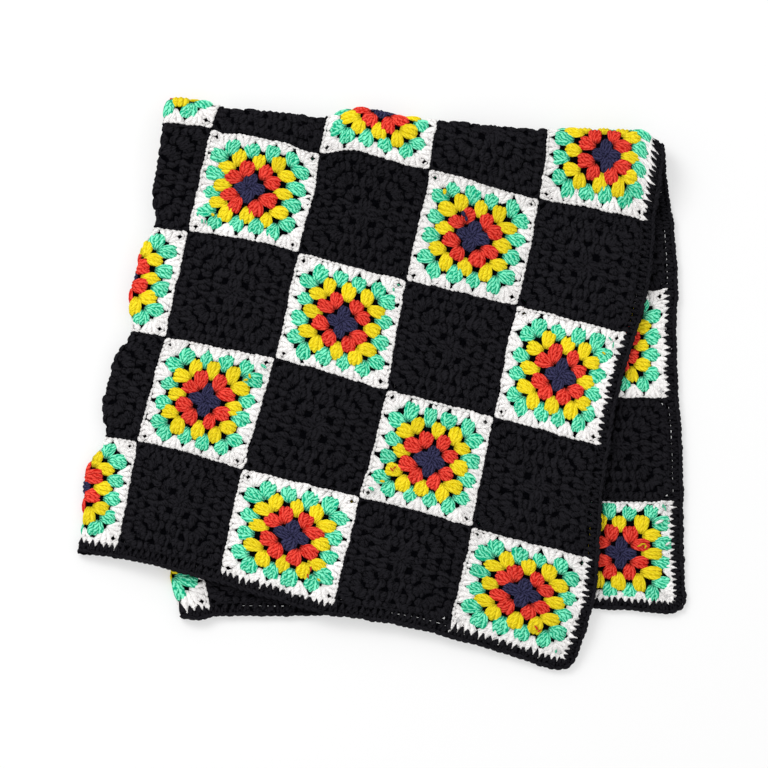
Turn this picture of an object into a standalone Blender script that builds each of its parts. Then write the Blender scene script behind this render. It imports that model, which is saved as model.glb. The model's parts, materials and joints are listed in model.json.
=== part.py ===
"""Granny square blanket: nine by nine crocheted squares in a black edging, folded in four.

The cloth is worked out flat, in its own directions: `across` runs from its right edge to its
left edge and `up` from its bottom edge to its top edge. `folded` then lays each point where it
comes to rest. The left half is turned under the right half first, about a slanted line, and the
far half of both is turned under the near half, about a second slanted line. From the top, the
four layers are the near right quarter, the near left, the far left and the far right, and the
last one lies flat on the ground. Lengths are in metres and +Z is up.
"""

import math
from collections import namedtuple

import bmesh
import bpy
import numpy as np
from mathutils.geometry import delaunay_2d_cdt

# The cloth, flat.
SQUARE = 0.120
SQUARES = 9
FIELD = SQUARE * SQUARES
EDGING_WIDTH = 0.012
SHEET = 0.003
PIECE_GAP = 0.0003

# The chain spaces at the corners of the squares, which are cut through.
SPACE_INSET = 0.008
SPACE_ACROSS = 0.0046
UNCUT_COLUMN = 4

# The stack of layers.
LAYER_STEP = 0.0055
BOTTOM_LAYER = SHEET / 2
LEDGE_RUN = 0.080
TWO_LEDGE_RUN = 0.100
LEDGE_MARGIN = 0.004
SWELL = 0.0012
SWELL_LENGTH = 0.170

# The left fold: its place in squares from the right edge, its slant, and its loose round.
LEFT_FOLD_AT = 4.302 * SQUARE
LEFT_FOLD_SLOPE = 0.0417
LEFT_FOLD_LOFT = 0.0035
LEFT_LOFT_RUN = 0.040
LEFT_RADIUS = (LAYER_STEP + LEFT_FOLD_LOFT) / 2
LEFT_HALF_TURN = math.pi * LEFT_RADIUS / 2
WAVE_FADE = 0.100

# The top fold: its place up the left fold, its slant, and its loose round.
TOP_FOLD_AT = 0.5046
TOP_FOLD_TURN = math.radians(5.86)
TOP_ROUND_REACH = 0.023
TOP_ROUND_HALF = 0.0138
TOP_LOFT = 2 * TOP_ROUND_HALF - 2 * LAYER_STEP
TOP_LOFT_RUN = 0.075
TOP_WAVE_RUN = 0.120
FAR_HALF_TAKE_UP = 0.9387

# How the folded blanket lies on the ground.
LAY_TURN = math.radians(-10.11)
LAY_CORNER = (-0.3259, -0.2178)

# How far each fold's edge stands out of a straight line: squares along it, metres outward.
EdgeRow = namedtuple("EdgeRow", "along out")
LEFT_EDGE = (
    EdgeRow(0.10, 0.0002),
    EdgeRow(0.60, 0.0078),
    EdgeRow(1.00, -0.0063),
    EdgeRow(1.30, 0.0034),
    EdgeRow(1.70, 0.0003),
    EdgeRow(2.00, -0.0130),
    EdgeRow(2.35, -0.0036),
    EdgeRow(2.70, -0.0057),
    EdgeRow(3.00, -0.0140),
    EdgeRow(3.30, -0.0053),
    EdgeRow(4.10, -0.0084),
    EdgeRow(7.00, 0.0000),
    EdgeRow(8.70, 0.0076),
)
TOP_EDGE = (
    EdgeRow(-0.20, 0.0200),
    EdgeRow(0.30, 0.0027),
    EdgeRow(0.90, 0.0007),
    EdgeRow(1.35, -0.0044),
    EdgeRow(1.75, 0.0103),
    EdgeRow(2.30, 0.0030),
    EdgeRow(3.30, 0.0004),
    EdgeRow(3.90, 0.0059),
    EdgeRow(4.25, 0.0072),
    EdgeRow(4.50, -0.0067),
)

# How much of its width each side keeps, as crochet gathers or stretches: squares up the cloth.
WidthRow = namedtuple("WidthRow", "up keeps")
LEFT_SIDE_WIDTH = (WidthRow(-0.5, 0.883), WidthRow(4.4, 0.984), WidthRow(9.5, 1.030))
RIGHT_SIDE_WIDTH = (WidthRow(-0.5, 1.0), WidthRow(4.4, 1.0), WidthRow(9.5, 0.867))

# Where a folded pair of layers is pulled out of true. Its place is in squares inward from the left
# fold and along it, its reach in squares, and the pull in metres as seen from above.
Pull = namedtuple("Pull", "inward along right away reach")
PULLS = (
    Pull(4.3, 0.0, 0.0188, 0.0047, 1.0),
    Pull(2.3, 0.0, 0.0019, 0.0087, 1.0),
    Pull(0.4, 0.0, 0.0083, 0.0147, 1.0),
    Pull(4.2, 1.4, -0.0020, -0.0117, 1.0),
    Pull(2.3, 1.8, 0.0075, -0.0015, 1.0),
    Pull(0.5, 1.7, 0.0018, 0.0049, 1.0),
    Pull(4.1, 3.0, 0.0012, 0.0058, 0.9),
    Pull(2.2, 3.3, 0.0055, 0.0069, 0.9),
    Pull(0.6, 3.5, 0.0068, 0.0068, 0.9),
    Pull(4.4, 5.6, 0.0020, 0.0092, 0.8),
    Pull(4.5, 7.1, 0.0024, -0.0009, 0.9),
    Pull(4.5, 8.9, -0.0021, 0.0022, 0.9),
    Pull(2.6, 8.9, 0.0108, 0.0088, 1.0),
    Pull(0.8, 8.9, 0.0075, -0.0040, 1.0),
)
PULL_FADE = 0.110

# The mesh: thirds of squares on the flat, and closer lines where the cloth turns.
LINE_STEP = SQUARE / 3
LINES_BEFORE_LEFT_FOLD = 12
LINES_BEFORE_TOP_FOLD = 10
LINES_AFTER_LEFT_FOLD = 13
LINES_AFTER_TOP_FOLD = 12
LEFT_FOLD_LINES = (-0.026, -0.0120, -0.0071, -0.0047, -0.0024, 0.0,
                   0.0024, 0.0047, 0.0071, 0.0120, 0.026)
TOP_FOLD_LINES = (-0.088, -0.066, -0.048, -0.036, -0.028, -0.021, -0.014, -0.007,
                  0.0, 0.007, 0.014, 0.021, 0.028, 0.040)
SPACE_CLEARANCE = 0.0035
NORMAL_STEP = 0.0002
SETTLING_ROUNDS = 12


def smooth(share):
    """Ease from 0 to 1 as share goes from 0 to 1."""
    return 0.5 - 0.5 * np.cos(math.pi * np.clip(share, 0.0, 1.0))


def along_rows(place, rows):
    """Read a table of EdgeRow at place, in squares, easing from row to row."""
    places = np.array([row.along for row in rows])
    values = np.array([row.out for row in rows])
    index = np.clip(np.searchsorted(places, place, side="right") - 1, 0, len(rows) - 2)
    share = smooth((place - places[index]) / (places[index + 1] - places[index]))
    return values[index] + (values[index + 1] - values[index]) * share


def width_kept(up, rows):
    """Read a table of WidthRow at a height up the cloth, in metres."""
    return np.interp(up / SQUARE, [row.up for row in rows], [row.keeps for row in rows])


def left_fold(across, up):
    """Turn the left half under the right half.

    Returns the distance inward from the fold, the distance along it, the share of the pair's
    thickness (0 on its lower layer, 1 on its upper one), and the flat distance past the fold.
    """
    slant = math.atan(LEFT_FOLD_SLOPE)
    beyond = across - LEFT_FOLD_AT
    wave = along_rows(up / SQUARE, LEFT_EDGE)
    past = (beyond - LEFT_FOLD_SLOPE * up) * math.cos(slant) - wave
    along = up * math.cos(slant) + beyond * math.sin(slant)
    turn = np.clip(past / LEFT_RADIUS, -math.pi / 2, math.pi / 2)
    kept = np.where(past > 0, width_kept(up, LEFT_SIDE_WIDTH), width_kept(up, RIGHT_SIDE_WIDTH))
    flat_part = (np.abs(past) - LEFT_HALF_TURN) * kept
    inward = np.where(np.abs(past) > LEFT_HALF_TURN, flat_part, -LEFT_RADIUS * np.cos(turn))
    inward = inward + wave * (2.0 * smooth(past / WAVE_FADE) - 1.0)
    share = 0.5 - 0.5 * np.sin(turn)
    return inward, along, share, past


def flat_place(inward, along, left_side):
    """Undo the left fold on one side: the place on the flat cloth that lies at a plan place."""
    slant = math.atan(LEFT_FOLD_SLOPE)
    rows = LEFT_SIDE_WIDTH if left_side else RIGHT_SIDE_WIDTH
    past = (inward / width_kept(along, rows) + LEFT_HALF_TURN) * (1 if left_side else -1)
    across = along * math.sin(slant) + past * math.cos(slant) + LEFT_FOLD_AT
    return across, along * math.cos(slant) - past * math.sin(slant)


def to_top_fold(inward, along):
    """Turn plan axes on the left fold into axes along the top fold and out across it."""
    rise = along - TOP_FOLD_AT
    side = inward * math.cos(TOP_FOLD_TURN) + rise * math.sin(TOP_FOLD_TURN)
    return side, rise * math.cos(TOP_FOLD_TURN) - inward * math.sin(TOP_FOLD_TURN)


def from_top_fold(side, out):
    """Undo to_top_fold."""
    inward = side * math.cos(TOP_FOLD_TURN) - out * math.sin(TOP_FOLD_TURN)
    return inward, side * math.sin(TOP_FOLD_TURN) + out * math.cos(TOP_FOLD_TURN) + TOP_FOLD_AT


def quarter_round():
    """The quarter turn of the top fold, as its angles and the cloth used up to each of them."""
    angles = np.linspace(0.0, math.pi / 2, 91)
    steps = np.hypot(np.diff(TOP_ROUND_REACH * np.sin(angles)), np.diff(TOP_ROUND_HALF * np.cos(angles)))
    return angles, np.concatenate([[0.0], np.cumsum(steps)])


QUARTER_ANGLES, QUARTER_CLOTH = quarter_round()
QUARTER_LENGTH = QUARTER_CLOTH[-1]


def cover(outside, run):
    """How fully a layer holds up what lies on it, from its distance outside that layer."""
    return 1.0 - smooth((outside - LEDGE_MARGIN) / run)


def pulled(side, out, slab_past):
    """Pull a place of a folded pair sideways; slab_past says how far it lies past the top fold."""
    inward, along = from_top_fold(side, slab_past)
    turn = LAY_TURN + TOP_FOLD_TURN
    hold = smooth(np.abs(slab_past) / PULL_FADE)
    for pull in PULLS:
        gap = np.hypot(inward / SQUARE - pull.inward, along / SQUARE - pull.along)
        share = hold * np.exp(-0.5 * (gap / pull.reach) ** 2)
        side = side + share * (pull.right * math.cos(turn) + pull.away * math.sin(turn))
        out = out + share * (pull.away * math.cos(turn) - pull.right * math.sin(turn))
    return side, out


def far_edges(side, out):
    """How far a place lies outside the two far layers, lowest first, and beyond their left fold."""
    edge = FIELD + EDGING_WIDTH
    slab_past = QUARTER_LENGTH - out / FAR_HALF_TAKE_UP
    moved_side, moved_out = pulled(side, out, slab_past)
    side = 2 * side - moved_side
    slab_past = QUARTER_LENGTH - (2 * out - moved_out) / FAR_HALF_TAKE_UP
    inward, along = from_top_fold(side, slab_past)
    left = -inward - along_rows(along / SQUARE, LEFT_EDGE) - LEFT_RADIUS
    across, up = flat_place(inward, along, left_side=False)
    lowest = np.maximum.reduce([-EDGING_WIDTH - across, up - edge, left])
    across, up = flat_place(inward, along, left_side=True)
    return lowest, np.maximum.reduce([across - edge, up - edge, left]), left


def loose_round(inward):
    """How much the left fold's loose round lifts the upper layer of a pair."""
    return LEFT_FOLD_LOFT * (1.0 - smooth(inward / LEFT_LOFT_RUN))


def far_heights(side, out, slab_past):
    """The middle heights of the two far layers, lowest first."""
    inward, along = from_top_fold(side, slab_past)
    across, up = flat_place(inward, along, left_side=False)
    edge = FIELD + EDGING_WIDTH
    outside = np.maximum(-EDGING_WIDTH - across, up - edge)
    lowest = BOTTOM_LAYER + 0.0 * side
    return lowest, BOTTOM_LAYER + LAYER_STEP * cover(outside, LEDGE_RUN) + loose_round(inward)


def near_heights(side, out, laid_side, laid_out):
    """The middle heights of the two near layers, lower first, above what lies under them."""
    lowest, second, left = far_edges(laid_side, laid_out)
    lower = BOTTOM_LAYER + LAYER_STEP * (cover(lowest, TWO_LEDGE_RUN) + cover(second, TWO_LEDGE_RUN))
    lower = lower + LEFT_FOLD_LOFT * cover(-left, LEFT_LOFT_RUN) * cover(left, TWO_LEDGE_RUN)
    inward, along = from_top_fold(side, out - QUARTER_LENGTH)
    across, up = flat_place(inward, along, left_side=True)
    outside = np.maximum(across - FIELD - EDGING_WIDTH, -EDGING_WIDTH - up)
    return lower, lower + LAYER_STEP * cover(outside, LEDGE_RUN) + loose_round(inward)


def lay_down(side, out, height):
    """Wave the top fold's edge, swell the stack a little and turn it as it lies on the ground."""
    wave = along_rows(side / SQUARE, TOP_EDGE)
    inward, along = from_top_fold(side, out + wave * smooth(out / TOP_WAVE_RUN + 1.0))
    right = LAY_CORNER[0] + inward * math.cos(LAY_TURN) - along * math.sin(LAY_TURN)
    away = LAY_CORNER[1] + inward * math.sin(LAY_TURN) + along * math.cos(LAY_TURN)
    ripple = np.sin(2 * math.pi * right / SWELL_LENGTH) * np.cos(2 * math.pi * away / SWELL_LENGTH)
    lift = (height - BOTTOM_LAYER) / (3 * LAYER_STEP)
    return np.stack([right, away, height + SWELL * ripple * lift], axis=-1)


def folded(across, up):
    """Lay flat cloth places down as they rest in the folded blanket, at the cloth's middle."""
    inward, along, share, _ = left_fold(across, up)
    side, past = to_top_fold(inward, along)
    near = past < -QUARTER_LENGTH
    far = past > QUARTER_LENGTH
    used = QUARTER_LENGTH - np.clip(np.abs(past), 0.0, QUARTER_LENGTH)
    quarter = np.interp(used, QUARTER_CLOTH, QUARTER_ANGLES)
    turn = np.where(past < 0, quarter, math.pi - quarter)
    spread = LAYER_STEP + loose_round(inward)
    out = (TOP_ROUND_REACH + (share - 0.5) * spread) * np.sin(turn)
    out = np.where(near, past + QUARTER_LENGTH, out)
    out = np.where(far, (QUARTER_LENGTH - past) * FAR_HALF_TAKE_UP, out)
    laid_side, laid_out = pulled(side, out, past)
    lower, upper = near_heights(side, np.minimum(out, 0.0), laid_side, np.minimum(laid_out, 0.0))
    near_height = lower + share * (upper - lower)
    lowest, second = far_heights(side, out, np.maximum(past, QUARTER_LENGTH))
    far_height = second + share * (lowest - second)
    crown = near_height + TOP_LOFT
    approach = near_height + TOP_LOFT * smooth(laid_out / TOP_LOFT_RUN + 1.0)
    round_height = (crown + far_height) / 2 + (crown - far_height) / 2 * np.cos(turn)
    height = np.where(near, approach, np.where(far, far_height, round_height))
    return lay_down(laid_side, laid_out, height)


def both_faces(across, up):
    """The upper and lower faces of the sheet at flat cloth places."""
    step = NORMAL_STEP
    along_across = folded(across + step, up) - folded(across - step, up)
    along_up = folded(across, up + step) - folded(across, up - step)
    normal = np.cross(along_up, along_across)
    normal = normal / np.linalg.norm(normal, axis=-1, keepdims=True)
    middle = folded(across, up)
    return middle + normal * SHEET / 2, middle - normal * SHEET / 2


def past_top_fold(across, up):
    """Flat distance past the top fold's crest."""
    inward, along, _, _ = left_fold(across, up)
    return to_top_fold(inward, along)[1]


def lines_near(place, past, fold_lines, lines_before, lines_after):
    """The mesh lines of one direction, in flat metres, as they pass one place."""
    before = [index * LINE_STEP for index in range(lines_before + 1)]
    after = [FIELD - index * LINE_STEP for index in reversed(range(lines_after))]
    return np.array(before + [place + line - past for line in fold_lines] + after)


def across_lines(across, up):
    """The lines that run up the cloth, which follow the left fold where it is close."""
    return lines_near(across, left_fold(across, up)[3], LEFT_FOLD_LINES,
                      LINES_BEFORE_LEFT_FOLD, LINES_AFTER_LEFT_FOLD)


def up_lines(across, up):
    """The lines that run across the cloth, which follow the top fold where it is close."""
    return lines_near(up, past_top_fold(across, up), TOP_FOLD_LINES,
                      LINES_BEFORE_TOP_FOLD, LINES_AFTER_TOP_FOLD)


def lattice_node(column, row):
    """The flat place where a line up the cloth meets a line across it."""
    across = FIELD / 2
    up = FIELD / 2
    for _ in range(SETTLING_ROUNDS):
        across = across_lines(across, up)[column]
        up = up_lines(across, up)[row]
    return across, up


def lattice_place(across, up):
    """The place of a flat point counted in mesh lines, which spaces close lines evenly."""
    columns = across_lines(across, up)
    rows = up_lines(across, up)
    column = np.interp(across, columns, np.arange(len(columns)))
    return column, np.interp(up, rows, np.arange(len(rows)))


def lattice():
    """Every node of the mesh lines, as a table of flat places by column and row."""
    columns = len(across_lines(0.0, 0.0))
    rows = len(up_lines(0.0, 0.0))
    return [[lattice_node(column, row) for row in range(rows)] for column in range(columns)]


def corner_spaces():
    """The chain space at each corner of each square, as a loop of four flat places."""
    loops = []
    for column in range(SQUARES):
        if column == UNCUT_COLUMN:
            continue
        for row in range(SQUARES):
            for from_right in (SPACE_INSET, SQUARE - SPACE_INSET):
                for from_bottom in (SPACE_INSET, SQUARE - SPACE_INSET):
                    middle = (column * SQUARE + from_right, row * SQUARE + from_bottom)
                    loops.append([(middle[0] + SPACE_ACROSS / 2 * math.cos(math.pi / 2 * step),
                                   middle[1] + SPACE_ACROSS / 2 * math.sin(math.pi / 2 * step))
                                  for step in range(4)])
    return loops


def clear_of(place, middles):
    """Whether a flat place keeps clear of every chain space."""
    gaps = np.hypot(middles[:, 0] - place[0], middles[:, 1] - place[1])
    return gaps.min() > SPACE_ACROSS / 2 + SPACE_CLEARANCE


def field_triangles(nodes, loops):
    """Triangulate the field round its chain spaces.

    Returns the flat places, the triangles between them, and the loops of its outer edge and of
    the chain spaces as lists of place numbers.
    """
    middles = np.array([np.mean(loop, axis=0) for loop in loops])
    columns = len(nodes)
    rows = len(nodes[0])
    places = []
    spots = []
    number = {}
    for column in range(columns):
        for row in range(rows):
            on_edge = column in (0, columns - 1) or row in (0, rows - 1)
            if on_edge or clear_of(nodes[column][row], middles):
                number[column, row] = len(places)
                places.append(nodes[column][row])
                spots.append((float(column), float(row)))
    outer = [number[column, 0] for column in range(columns)]
    outer += [number[columns - 1, row] for row in range(1, rows)]
    outer += [number[column, rows - 1] for column in reversed(range(columns - 1))]
    outer += [number[0, row] for row in reversed(range(1, rows - 1))]
    rings = []
    for loop in loops:
        rings.append([len(places) + step for step in range(len(loop))])
        places += loop
        spots += [lattice_place(*place) for place in loop]
    edges = [(ring[step], ring[(step + 1) % len(ring)]) for ring in [outer] + rings for step in range(len(ring))]
    result = delaunay_2d_cdt(spots, edges, [], 0, 1e-7)
    source = [origins[0] for origins in result[3]]
    ring_of = {place: index for index, ring in enumerate(rings) for place in ring}
    triangles = []
    for face in result[2]:
        corners = [source[corner] for corner in face]
        homes = {ring_of.get(corner) for corner in corners}
        if len(homes) > 1 or homes == {None}:
            triangles.append(corners)
    return np.array(places), triangles, [outer] + rings


def sheet_object(name, places, faces, loops, material):
    """Give a flat triangulation its folds and its thickness, as one closed object."""
    upper, lower = both_faces(places[:, 0], places[:, 1])
    mesh = bmesh.new()
    tops = [mesh.verts.new(point) for point in upper]
    bottoms = [mesh.verts.new(point) for point in lower]
    for corners in faces:
        mesh.faces.new([tops[corner] for corner in corners])
        mesh.faces.new([bottoms[corner] for corner in reversed(corners)])
    for loop in loops:
        for first, second in zip(loop, loop[1:] + loop[:1]):
            mesh.faces.new((tops[first], tops[second], bottoms[second], bottoms[first]))
    bmesh.ops.triangulate(mesh, faces=[face for face in mesh.faces if len(face.verts) > 3])
    bmesh.ops.recalc_face_normals(mesh, faces=mesh.faces)
    data = bpy.data.meshes.new(name)
    mesh.to_mesh(data)
    mesh.free()
    data.materials.append(material)
    thing = bpy.data.objects.new(name, data)
    bpy.context.collection.objects.link(thing)
    return thing


def yarn(name, colour, roughness):
    """A plain yarn material."""
    material = bpy.data.materials.new(name)
    material.use_nodes = True
    shader = material.node_tree.nodes["Principled BSDF"]
    shader.inputs["Base Color"].default_value = (*colour, 1.0)
    shader.inputs["Roughness"].default_value = roughness
    shader.inputs["Metallic"].default_value = 0.0
    return material


def make_field(nodes):
    """The eighty-one joined squares, one cloth with a space at the corners of each square."""
    places, faces, loops = field_triangles(nodes, corner_spaces())
    return sheet_object("blanket_squares", places, faces, loops, yarn("squares_yarn", (0.45, 0.42, 0.36), 0.9))


def make_edging(nodes):
    """The crocheted edging, one closed band round the field with mitred corners."""
    columns = len(nodes)
    rows = len(nodes[0])
    ring = [(nodes[column][0], (0, -1)) for column in range(1, columns - 1)]
    ring += [(nodes[-1][0], (1, -1))]
    ring += [(nodes[-1][row], (1, 0)) for row in range(1, rows - 1)]
    ring += [(nodes[-1][-1], (1, 1))]
    ring += [(nodes[column][-1], (0, 1)) for column in reversed(range(1, columns - 1))]
    ring += [(nodes[0][-1], (-1, 1))]
    ring += [(nodes[0][row], (-1, 0)) for row in reversed(range(1, rows - 1))]
    ring += [(nodes[0][0], (-1, -1))]
    places = [(place[0] + away[0] * reach, place[1] + away[1] * reach)
              for reach in (PIECE_GAP, EDGING_WIDTH) for place, away in ring]
    count = len(ring)
    inner = list(range(count))
    outer = list(range(count, 2 * count))
    faces = []
    for step in range(count):
        following = (step + 1) % count
        faces.append((inner[step], outer[step], outer[following]))
        faces.append((inner[step], outer[following], inner[following]))
    return sheet_object("crochet_edging", np.array(places), faces, [inner, outer],
                        yarn("edging_yarn", (0.012, 0.012, 0.014), 0.9))


def centre_on_ground(things):
    """Move the cloth so that the middle of its box in plan is the origin."""
    corners = np.array([vertex.co[:2] for thing in things for vertex in thing.data.vertices])
    middle = (corners.min(axis=0) + corners.max(axis=0)) / 2
    for thing in things:
        for vertex in thing.data.vertices:
            vertex.co.x -= middle[0]
            vertex.co.y -= middle[1]


def main():
    """Clear the scene and make the blanket."""
    for thing in list(bpy.data.objects):
        bpy.data.objects.remove(thing)
    nodes = lattice()
    centre_on_ground([make_field(nodes), make_edging(nodes)])


main()
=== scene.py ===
"""Looks of a granny square blanket folded in four: its yarns, stitches, edging, light and camera.

The crochet is worked out flat on a chart. There x runs from the cloth's left edge (-FIELD) to its
right edge (0), y from its bottom edge to its top edge, and z out of its right side. `Cloth` then
lays every point of the chart down on the folds. Lengths are in metres and +Z is up.
"""

import json
import logging
import math
from dataclasses import dataclass, field
from enum import Enum, IntEnum
from typing import Any, Iterable, Sequence

import bpy
import numpy as np
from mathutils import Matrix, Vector

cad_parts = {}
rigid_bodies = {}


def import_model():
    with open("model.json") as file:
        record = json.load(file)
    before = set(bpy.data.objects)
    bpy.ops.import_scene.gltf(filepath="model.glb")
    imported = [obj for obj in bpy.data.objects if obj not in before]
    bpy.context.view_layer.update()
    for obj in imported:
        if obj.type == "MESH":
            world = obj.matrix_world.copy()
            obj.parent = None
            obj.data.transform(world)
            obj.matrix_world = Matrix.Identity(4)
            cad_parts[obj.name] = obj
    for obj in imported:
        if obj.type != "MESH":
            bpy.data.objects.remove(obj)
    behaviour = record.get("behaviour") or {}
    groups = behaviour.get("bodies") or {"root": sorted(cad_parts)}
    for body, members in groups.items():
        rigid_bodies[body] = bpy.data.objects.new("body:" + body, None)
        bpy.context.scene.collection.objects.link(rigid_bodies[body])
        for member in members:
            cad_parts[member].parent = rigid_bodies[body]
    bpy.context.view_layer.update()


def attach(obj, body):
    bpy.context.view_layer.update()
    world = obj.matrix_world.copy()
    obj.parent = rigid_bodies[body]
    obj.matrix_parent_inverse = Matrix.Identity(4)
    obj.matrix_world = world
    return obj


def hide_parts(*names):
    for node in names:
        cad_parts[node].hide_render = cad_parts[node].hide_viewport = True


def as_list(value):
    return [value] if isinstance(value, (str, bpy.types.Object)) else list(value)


log = logging.getLogger("blanket")

Numbers = float | np.ndarray
Colour = tuple[float, float, float]
Lengths = tuple[float, float, float]

SQUARE = 0.120
SQUARES = 9
FIELD = SQUARE * SQUARES
EDGING_WIDTH = 0.012


def in_scene(name: str, data: bpy.types.ID) -> bpy.types.Object:
    """Make an object.

    Args:
        name: Its name.
        data: Its mesh, light or camera.

    Returns:
        The object, linked to the scene.
    """
    thing = bpy.data.objects.new(name, data)
    bpy.context.scene.collection.objects.link(thing)
    return thing


def closed_piece(name: str, points: np.ndarray, faces: list[tuple[int, ...]],
                 material: bpy.types.Material) -> bpy.types.Object:
    """Make a smooth piece from its corners and faces.

    Args:
        name: The piece's name.
        points: Its corners, a row of three numbers each.
        faces: Its faces, each the numbers of its corners.
        material: Its material.

    Returns:
        The piece.
    """
    data = bpy.data.meshes.new(name)
    data.from_pydata(points.tolist(), [], faces)
    data.materials.append(material)
    data.shade_smooth()
    return in_scene(name, data)


# ---------------------------------------------------------------------------------- the folds


@dataclass(frozen=True)
class EdgeRow:
    """How far a fold's edge stands out at a place along it, in squares and metres."""

    along: float
    out: float


@dataclass(frozen=True)
class WidthRow:
    """How much of its width the cloth keeps at a height up it, in squares."""

    up: float
    keeps: float


@dataclass(frozen=True)
class Pull:
    """A place in a folded pair of layers that is pulled out of true, as seen from above."""

    inward: float
    along: float
    right: float
    away: float
    reach: float


def smooth(share: Numbers) -> Numbers:
    """Ease from 0 to 1 as share goes from 0 to 1."""
    return 0.5 - 0.5 * np.cos(math.pi * np.clip(share, 0.0, 1.0))


def along_rows(place: Numbers, rows: Sequence[EdgeRow]) -> Numbers:
    """Read a table of EdgeRow, easing from row to row.

    Args:
        place: Where to read it, in squares.
        rows: The table.

    Returns:
        How far the edge stands out there, in metres.
    """
    places = np.array([row.along for row in rows])
    values = np.array([row.out for row in rows])
    index = np.clip(np.searchsorted(places, place, side="right") - 1, 0, len(rows) - 2)
    share = smooth((place - places[index]) / (places[index + 1] - places[index]))
    return values[index] + (values[index + 1] - values[index]) * share


def width_kept(up: Numbers, rows: Sequence[WidthRow]) -> Numbers:
    """Read a table of WidthRow at a height up the cloth, in metres."""
    return np.interp(up / SQUARE, [row.up for row in rows], [row.keeps for row in rows])


@dataclass(frozen=True)
class FoldedLay:
    """How the cloth is folded in four and lies on the ground.

    It is as the solids are, but for the wave at the top edge's left end and the last pull, which
    moves the far layers' loose corner.
    """

    centre: tuple[float, float] = (-0.0017194, 0.0035757)
    layer_step: float = 0.0055
    bottom_layer: float = 0.0015
    ledge_run: float = 0.080
    two_ledge_run: float = 0.100
    ledge_margin: float = 0.004
    swell: float = 0.0012
    swell_length: float = 0.170
    left_fold_at: float = 4.302 * SQUARE
    left_fold_slope: float = 0.0417
    left_fold_loft: float = 0.0035
    left_loft_run: float = 0.040
    wave_fade: float = 0.100
    top_fold_at: float = 0.5046
    top_fold_turn: float = math.radians(5.86)
    top_round_reach: float = 0.023
    top_round_half: float = 0.0138
    top_round_steps: int = 90
    top_loft_run: float = 0.075
    top_wave_run: float = 0.120
    far_half_take_up: float = 0.9387
    lay_turn: float = math.radians(-10.11)
    lay_corner: tuple[float, float] = (-0.3259, -0.2178)
    pull_fade: float = 0.110
    near_shows: float = 0.030
    top_shows: float = 0.060
    far_shows: float = 0.022
    right_strip: float = 0.165
    bottom_strip: float = 0.110
    strip_margin: float = 0.020
    left_edge: tuple[EdgeRow, ...] = (
        EdgeRow(0.10, 0.0002),
        EdgeRow(0.60, 0.0078),
        EdgeRow(1.00, -0.0063),
        EdgeRow(1.30, 0.0034),
        EdgeRow(1.70, 0.0003),
        EdgeRow(2.00, -0.0130),
        EdgeRow(2.35, -0.0036),
        EdgeRow(2.70, -0.0057),
        EdgeRow(3.00, -0.0140),
        EdgeRow(3.30, -0.0053),
        EdgeRow(4.10, -0.0084),
        EdgeRow(7.00, 0.0000),
        EdgeRow(8.70, 0.0076),
    )
    top_edge: tuple[EdgeRow, ...] = (
        EdgeRow(-0.20, 0.0100),
        EdgeRow(0.09, 0.0046),
        EdgeRow(0.20, 0.0044),
        EdgeRow(0.34, 0.0052),
        EdgeRow(0.45, 0.0026),
        EdgeRow(0.55, -0.0010),
        EdgeRow(0.72, 0.0000),
        EdgeRow(0.90, -0.0010),
        EdgeRow(1.10, -0.0004),
        EdgeRow(1.35, -0.0044),
        EdgeRow(1.75, 0.0103),
        EdgeRow(2.30, 0.0030),
        EdgeRow(3.30, 0.0004),
        EdgeRow(3.90, 0.0059),
        EdgeRow(4.25, 0.0072),
        EdgeRow(4.50, -0.0067),
    )
    left_side_width: tuple[WidthRow, ...] = (
        WidthRow(-0.5, 0.883),
        WidthRow(4.4, 0.984),
        WidthRow(9.5, 1.030),
    )
    right_side_width: tuple[WidthRow, ...] = (
        WidthRow(-0.5, 1.0),
        WidthRow(4.4, 1.0),
        WidthRow(9.5, 0.867),
    )
    pulls: tuple[Pull, ...] = (
        Pull(4.3, 0.0, 0.0188, 0.0047, 1.0),
        Pull(2.3, 0.0, 0.0019, 0.0087, 1.0),
        Pull(0.4, 0.0, 0.0083, 0.0147, 1.0),
        Pull(4.2, 1.4, -0.0020, -0.0117, 1.0),
        Pull(2.3, 1.8, 0.0075, -0.0015, 1.0),
        Pull(0.5, 1.7, 0.0018, 0.0049, 1.0),
        Pull(4.1, 3.0, 0.0012, 0.0058, 0.9),
        Pull(2.2, 3.3, 0.0055, 0.0069, 0.9),
        Pull(0.6, 3.5, 0.0068, 0.0068, 0.9),
        Pull(4.4, 5.6, 0.0020, 0.0092, 0.8),
        Pull(4.5, 7.1, 0.0024, -0.0009, 0.9),
        Pull(4.5, 8.9, -0.0021, 0.0022, 0.9),
        Pull(2.6, 8.9, 0.0108, 0.0088, 1.0),
        Pull(0.8, 8.9, 0.0075, -0.0040, 1.0),
        Pull(0.0, 9.1, 0.0135, -0.0082, 0.14),
    )

    @property
    def left_radius(self) -> float:
        """The radius of the left fold's round."""
        return (self.layer_step + self.left_fold_loft) / 2

    @property
    def left_half_turn(self) -> float:
        """The cloth in half of the left fold's round."""
        return math.pi * self.left_radius / 2

    @property
    def top_loft(self) -> float:
        """How far the top fold's loose round lifts the near layers."""
        return 2 * self.top_round_half - 2 * self.layer_step

    def quarter_round(self) -> tuple[np.ndarray, np.ndarray]:
        """Measure a quarter turn of the top fold.

        Returns:
            Its angles, and the cloth used up to each.
        """
        angles = np.linspace(0.0, math.pi / 2, self.top_round_steps + 1)
        across = np.diff(self.top_round_reach * np.sin(angles))
        down = np.diff(self.top_round_half * np.cos(angles))
        return angles, np.concatenate([[0.0], np.cumsum(np.hypot(across, down))])

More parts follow.
